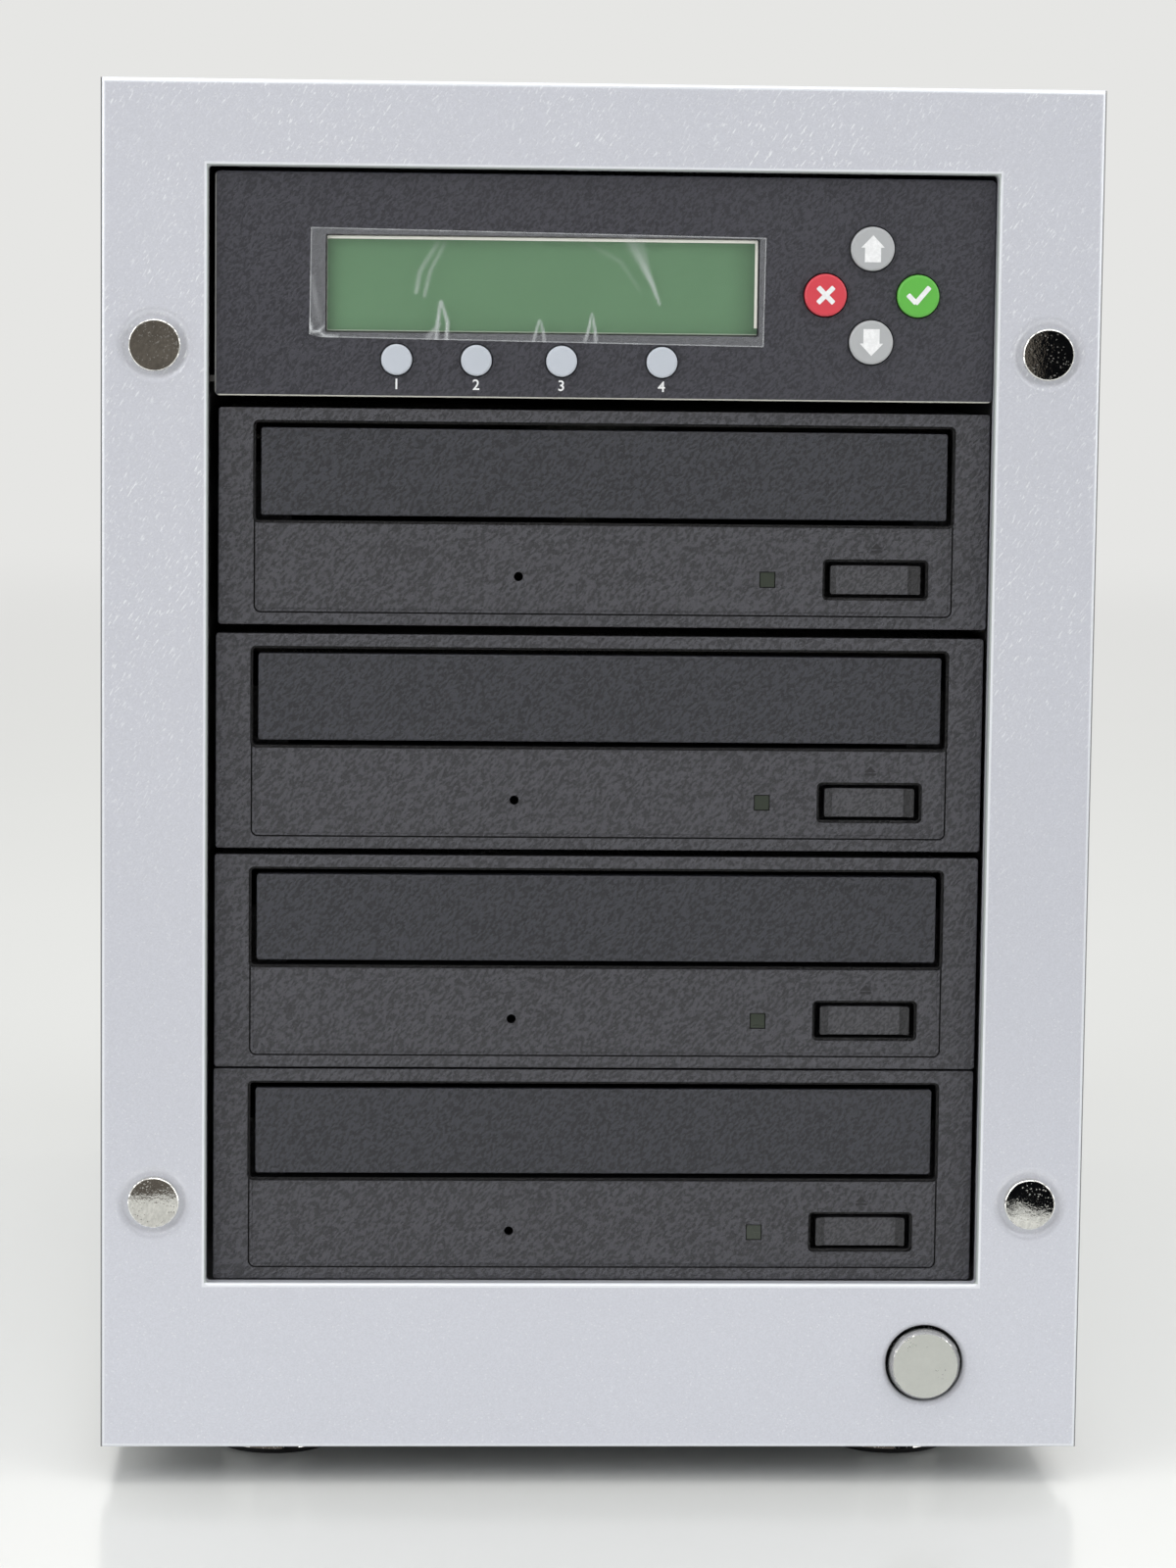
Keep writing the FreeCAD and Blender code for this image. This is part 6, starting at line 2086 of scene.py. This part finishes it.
@dataclass
class Studio:
    """Floor, background, lights and camera.

    Attributes:
        camera_place: Camera position.
        camera_turn: Its yaw, pitch and roll in radians.
        lens: Focal length on the sensor, in millimetres.
        sensor: Longer side of the sensor, in millimetres.
        clip: Nearest and farthest distance that the camera sees.
        floor_tone: Floor colour as seen.
        floor_shades: Least and most of that colour's light.
        floor_roughness: Roughness of the floor.
        floor_radius: Radius of the floor.
        floor_sides: Number of its sides.
        floor_cloud: Width of a faint cloud on it.
        fade: Distances over which the floor fades into the background.
        back_tone: Background colour as seen.
        sky_level: Strength of the even light from all sides.
        lamp_share: Share of the lamps' full power.
        lamp_aim: Height of the point that the lamps face.
        card_edges: Places along Y where the two floor cards begin.
        card_back: Place along Y of the upright cards, behind the camera.
        card_split: Places along X where brown meets black, on the floor and upright.
        card_far: Distance to each side that the cards reach.
        card_height: Height of the upright cards.
        card_lift: Height of the lying cards over the floor.
        card_shades: Least and most of the cards' light.
        brown: Colour of the brown cards.
        black: Colour of the black cards.
        pale: Floor colour between the rags.
        frays: Width of the two floor cards' ragged edges.
        card_cloud: Width of a cloud on the cards.
        rag: Width of a rag.
        rag_stretch: Share of the rag's own scale along Y.
        rag_share: Weight of the card's own side of the edge.
        rag_level: Level above which the edge is pale.
    """

    camera_place: tuple[float, float, float] = (-0.04229, -1.03757, 0.23116)
    camera_turn: tuple[float, float, float] = (-0.0467, -0.1073, -0.0117)
    lens: float = 103.5
    sensor: float = 36.0
    clip: Span = (0.01, 50.0)
    floor_tone: Tone = (236, 237, 234)
    floor_shades: Span = (0.985, 1.01)
    floor_roughness: float = 0.18
    floor_radius: float = 9.0
    floor_sides: int = 96
    floor_cloud: float = 0.25
    fade: Span = (0.9, 3.2)
    back_tone: Tone = (230, 230, 228)
    sky_level: float = 0.46
    lamp_share: float = 0.68
    lamp_aim: float = 0.13
    card_edges: Point = (-0.452, -0.432)
    card_back: float = -1.35
    card_split: Point = (0.10, 0.252)
    card_far: float = 1.6
    card_height: float = 0.9
    card_lift: float = 0.0012
    card_shades: Span = (0.1, 1.9)
    brown: Tone = (98, 93, 87)
    black: Tone = (12, 13, 15)
    pale: Tone = (205, 206, 204)
    frays: Point = (0.006, 0.016)
    card_cloud: float = 10 * MM
    rag: float = 3.2 * MM
    rag_stretch: float = 1 / 6
    rag_share: float = 0.42
    rag_level: float = 0.70

    def build(self) -> None:
        """Set up the whole studio."""
        self.camera()
        self.world()
        self.floor()
        self.cards()
        self.lights()
        bpy.context.scene.view_settings.view_transform = "Standard"

    def camera(self) -> None:
        """Place the camera at the photograph's viewing point."""
        yaw, pitch, roll = self.camera_turn
        turn = Matrix.Rotation(yaw, 3, "Z") @ Matrix.Rotation(pitch, 3, "X")
        turn = turn @ Matrix.Rotation(roll, 3, "Y") @ Matrix.Rotation(math.pi / 2, 3, "X")
        lens = bpy.data.cameras.new("camera")
        lens.lens, lens.sensor_width = self.lens, self.sensor
        lens.clip_start, lens.clip_end = self.clip
        camera = bpy.data.objects.new("camera", lens)
        camera.matrix_world = Matrix.Translation(self.camera_place) @ turn.to_4x4()
        bpy.context.scene.collection.objects.link(camera)
        bpy.context.scene.camera = camera

    def world(self) -> None:
        """Give the world an even light and a pale background."""
        world = bpy.data.worlds.new("studio")
        bpy.context.scene.world = world
        world.use_nodes = True
        add, link = world.node_tree.nodes.new, world.node_tree.links.new
        world.node_tree.nodes.clear()
        path = add("ShaderNodeLightPath")
        seen = path.outputs["Is Camera Ray"]
        for other in ("Is Glossy Ray", "Is Transmission Ray"):
            either = add("ShaderNodeMath")
            either.operation = "MAXIMUM"
            link(seen, either.inputs[0])
            link(path.outputs[other], either.inputs[1])
            seen = either.outputs[0]
        light, back = add("ShaderNodeBackground"), add("ShaderNodeBackground")
        light.inputs["Color"].default_value = (1.0, 1.0, 1.0, 1.0)
        light.inputs["Strength"].default_value = self.sky_level
        back.inputs["Color"].default_value = linear(self.back_tone)
        mix, out = add("ShaderNodeMixShader"), add("ShaderNodeOutputWorld")
        link(seen, mix.inputs[0])
        link(light.outputs[0], mix.inputs[1])
        link(back.outputs[0], mix.inputs[2])
        link(mix.outputs[0], out.inputs[0])

    def floor(self) -> None:
        """Lay a pale floor that fades into the background."""
        settings = {"vertices": self.floor_sides, "radius": self.floor_radius, "fill_type": "NGON"}
        floor = Bench.start("floor", bpy.ops.mesh.primitive_circle_add, **settings)
        graph = Graph("floor_pale")
        across, along = graph.axis(Axis.X), graph.axis(Axis.Y)
        far = (across * across + along * along).root().eased(*self.fade)
        cloud = graph.noise(self.floor_cloud, detail=3.0)
        tone = graph.toned(cloud, self.floor_tone, self.floor_shades)
        inputs = {"Base Color": tone, "Roughness": self.floor_roughness}
        shader = graph.add("ShaderNodeBsdfPrincipled", {}, inputs)
        glow = graph.add("ShaderNodeEmission", {}, {"Color": linear(self.back_tone), "Strength": 1.0})
        path = graph.add("ShaderNodeLightPath", {}, {}, "Is Camera Ray")
        blend = graph.add("ShaderNodeMixShader", {}, {0: far * path, 1: shader, 2: glow})
        graph.add("ShaderNodeOutputMaterial", {}, {"Surface": blend})
        floor.data.materials.append(graph.material)

    def cards(self) -> None:
        """Stand dark cards where only the mirror bright parts show them."""
        lying, standing = self.card_split
        level, upright = (self.card_lift, self.card_lift), (self.card_lift, self.card_height)
        far, back = self.card_far, self.card_back
        (left, right), (left_fray, right_fray) = self.card_edges, self.frays
        self.card("card_floor_left", (-far, lying), (back, left), level, self.brown, left_fray)
        self.card("card_floor_right", (lying, far), (back, right), level, self.black, right_fray)
        self.card("card_back_left", (-far, standing), (back, back), upright, self.brown)
        self.card("card_back_right", (standing, far), (back, back), upright, self.black)

    def card(self, name: str, across: Span, along: Span, up: Span, tone: Tone, fray: float = 0.0) -> None:
        """Stand one card, which lies flat where its lower and upper height are the same.

        Args:
            name: Name of the card.
            across: Its two ends along X.
            along: Its two ends along Y.
            up: Its two ends along Z.
            tone: Its colour as seen.
            fray: Width of its ragged edge towards the object, zero for a clean one.
        """
        flat = up[0] == up[1]
        turn = (0, 0, 0) if flat else (-math.pi / 2, 0, 0)
        depth = (along[1] - along[0]) if flat else (up[1] - up[0])
        card = Bench.start(name, bpy.ops.mesh.primitive_plane_add, size=1.0, rotation=turn)
        card.scale = (across[1] - across[0], depth, 1)
        card.location = (sum(across) / 2, sum(along) / 2, sum(up) / 2)
        Bench.settle(card)
        graph = Graph(name)
        cloud = graph.noise(self.card_cloud, detail=4.0, rough=0.75)
        colour = graph.toned(cloud, tone, self.card_shades)
        if fray:
            course = graph.stretched((1.0, self.rag_stretch, 1.0))
            ragged = graph.noise(self.rag, detail=3.0, rough=0.7, source=course)
            near = (1.0 - (along[1] - graph.axis(Axis.Y)) / fray).greater(0.0)
            torn = (near * self.rag_share + ragged) > self.rag_level
            colour = graph.mixed(torn, colour, linear(self.pale))
        glow = graph.add("ShaderNodeEmission", {}, {"Color": colour, "Strength": 1.0})
        graph.add("ShaderNodeOutputMaterial", {}, {"Surface": glow})
        card.data.materials.append(graph.material)
        card.visible_camera = card.visible_diffuse = card.visible_transmission = False
        card.visible_shadow = card.visible_volume_scatter = False

    def lights(self) -> None:
        """Set soft lamps round the camera."""
        lamps = [
            ("lamp_left", (-1.5, -1.2, 0.80), 1.6, 27.0),
            ("lamp_right", (1.6, -1.1, 0.70), 1.6, 22.0),
            ("lamp_top", (0.0, -0.3, 2.0), 1.8, 26.0),
            ("lamp_back", (0.3, 1.8, 1.2), 1.4, 5.0),
        ]
        for name, place, size, power in lamps:
            data = bpy.data.lights.new(name, "AREA")
            data.shape, data.size, data.energy = "SQUARE", size, power * self.lamp_share
            lamp = bpy.data.objects.new(name, data)
            lamp.location = place
            aim = Vector((0, 0, self.lamp_aim)) - Vector(place)
            lamp.rotation_euler = aim.to_track_quat("-Z", "Y").to_euler()
            lamp.visible_camera = False
            bpy.context.scene.collection.objects.link(lamp)


def main() -> None:
    """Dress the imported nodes, add the new pieces, and set the stage."""
    logging.basicConfig(level=logging.INFO, format="%(name)s: %(message)s")
    Studio().build()
    for assembly in (Shell(), DriveStack(), ControlPanel(), PowerParts(), Wiring()):
        LOG.info("building %s", type(assembly).__name__)
        assembly.build()


if __name__ == "__main__":
    main()
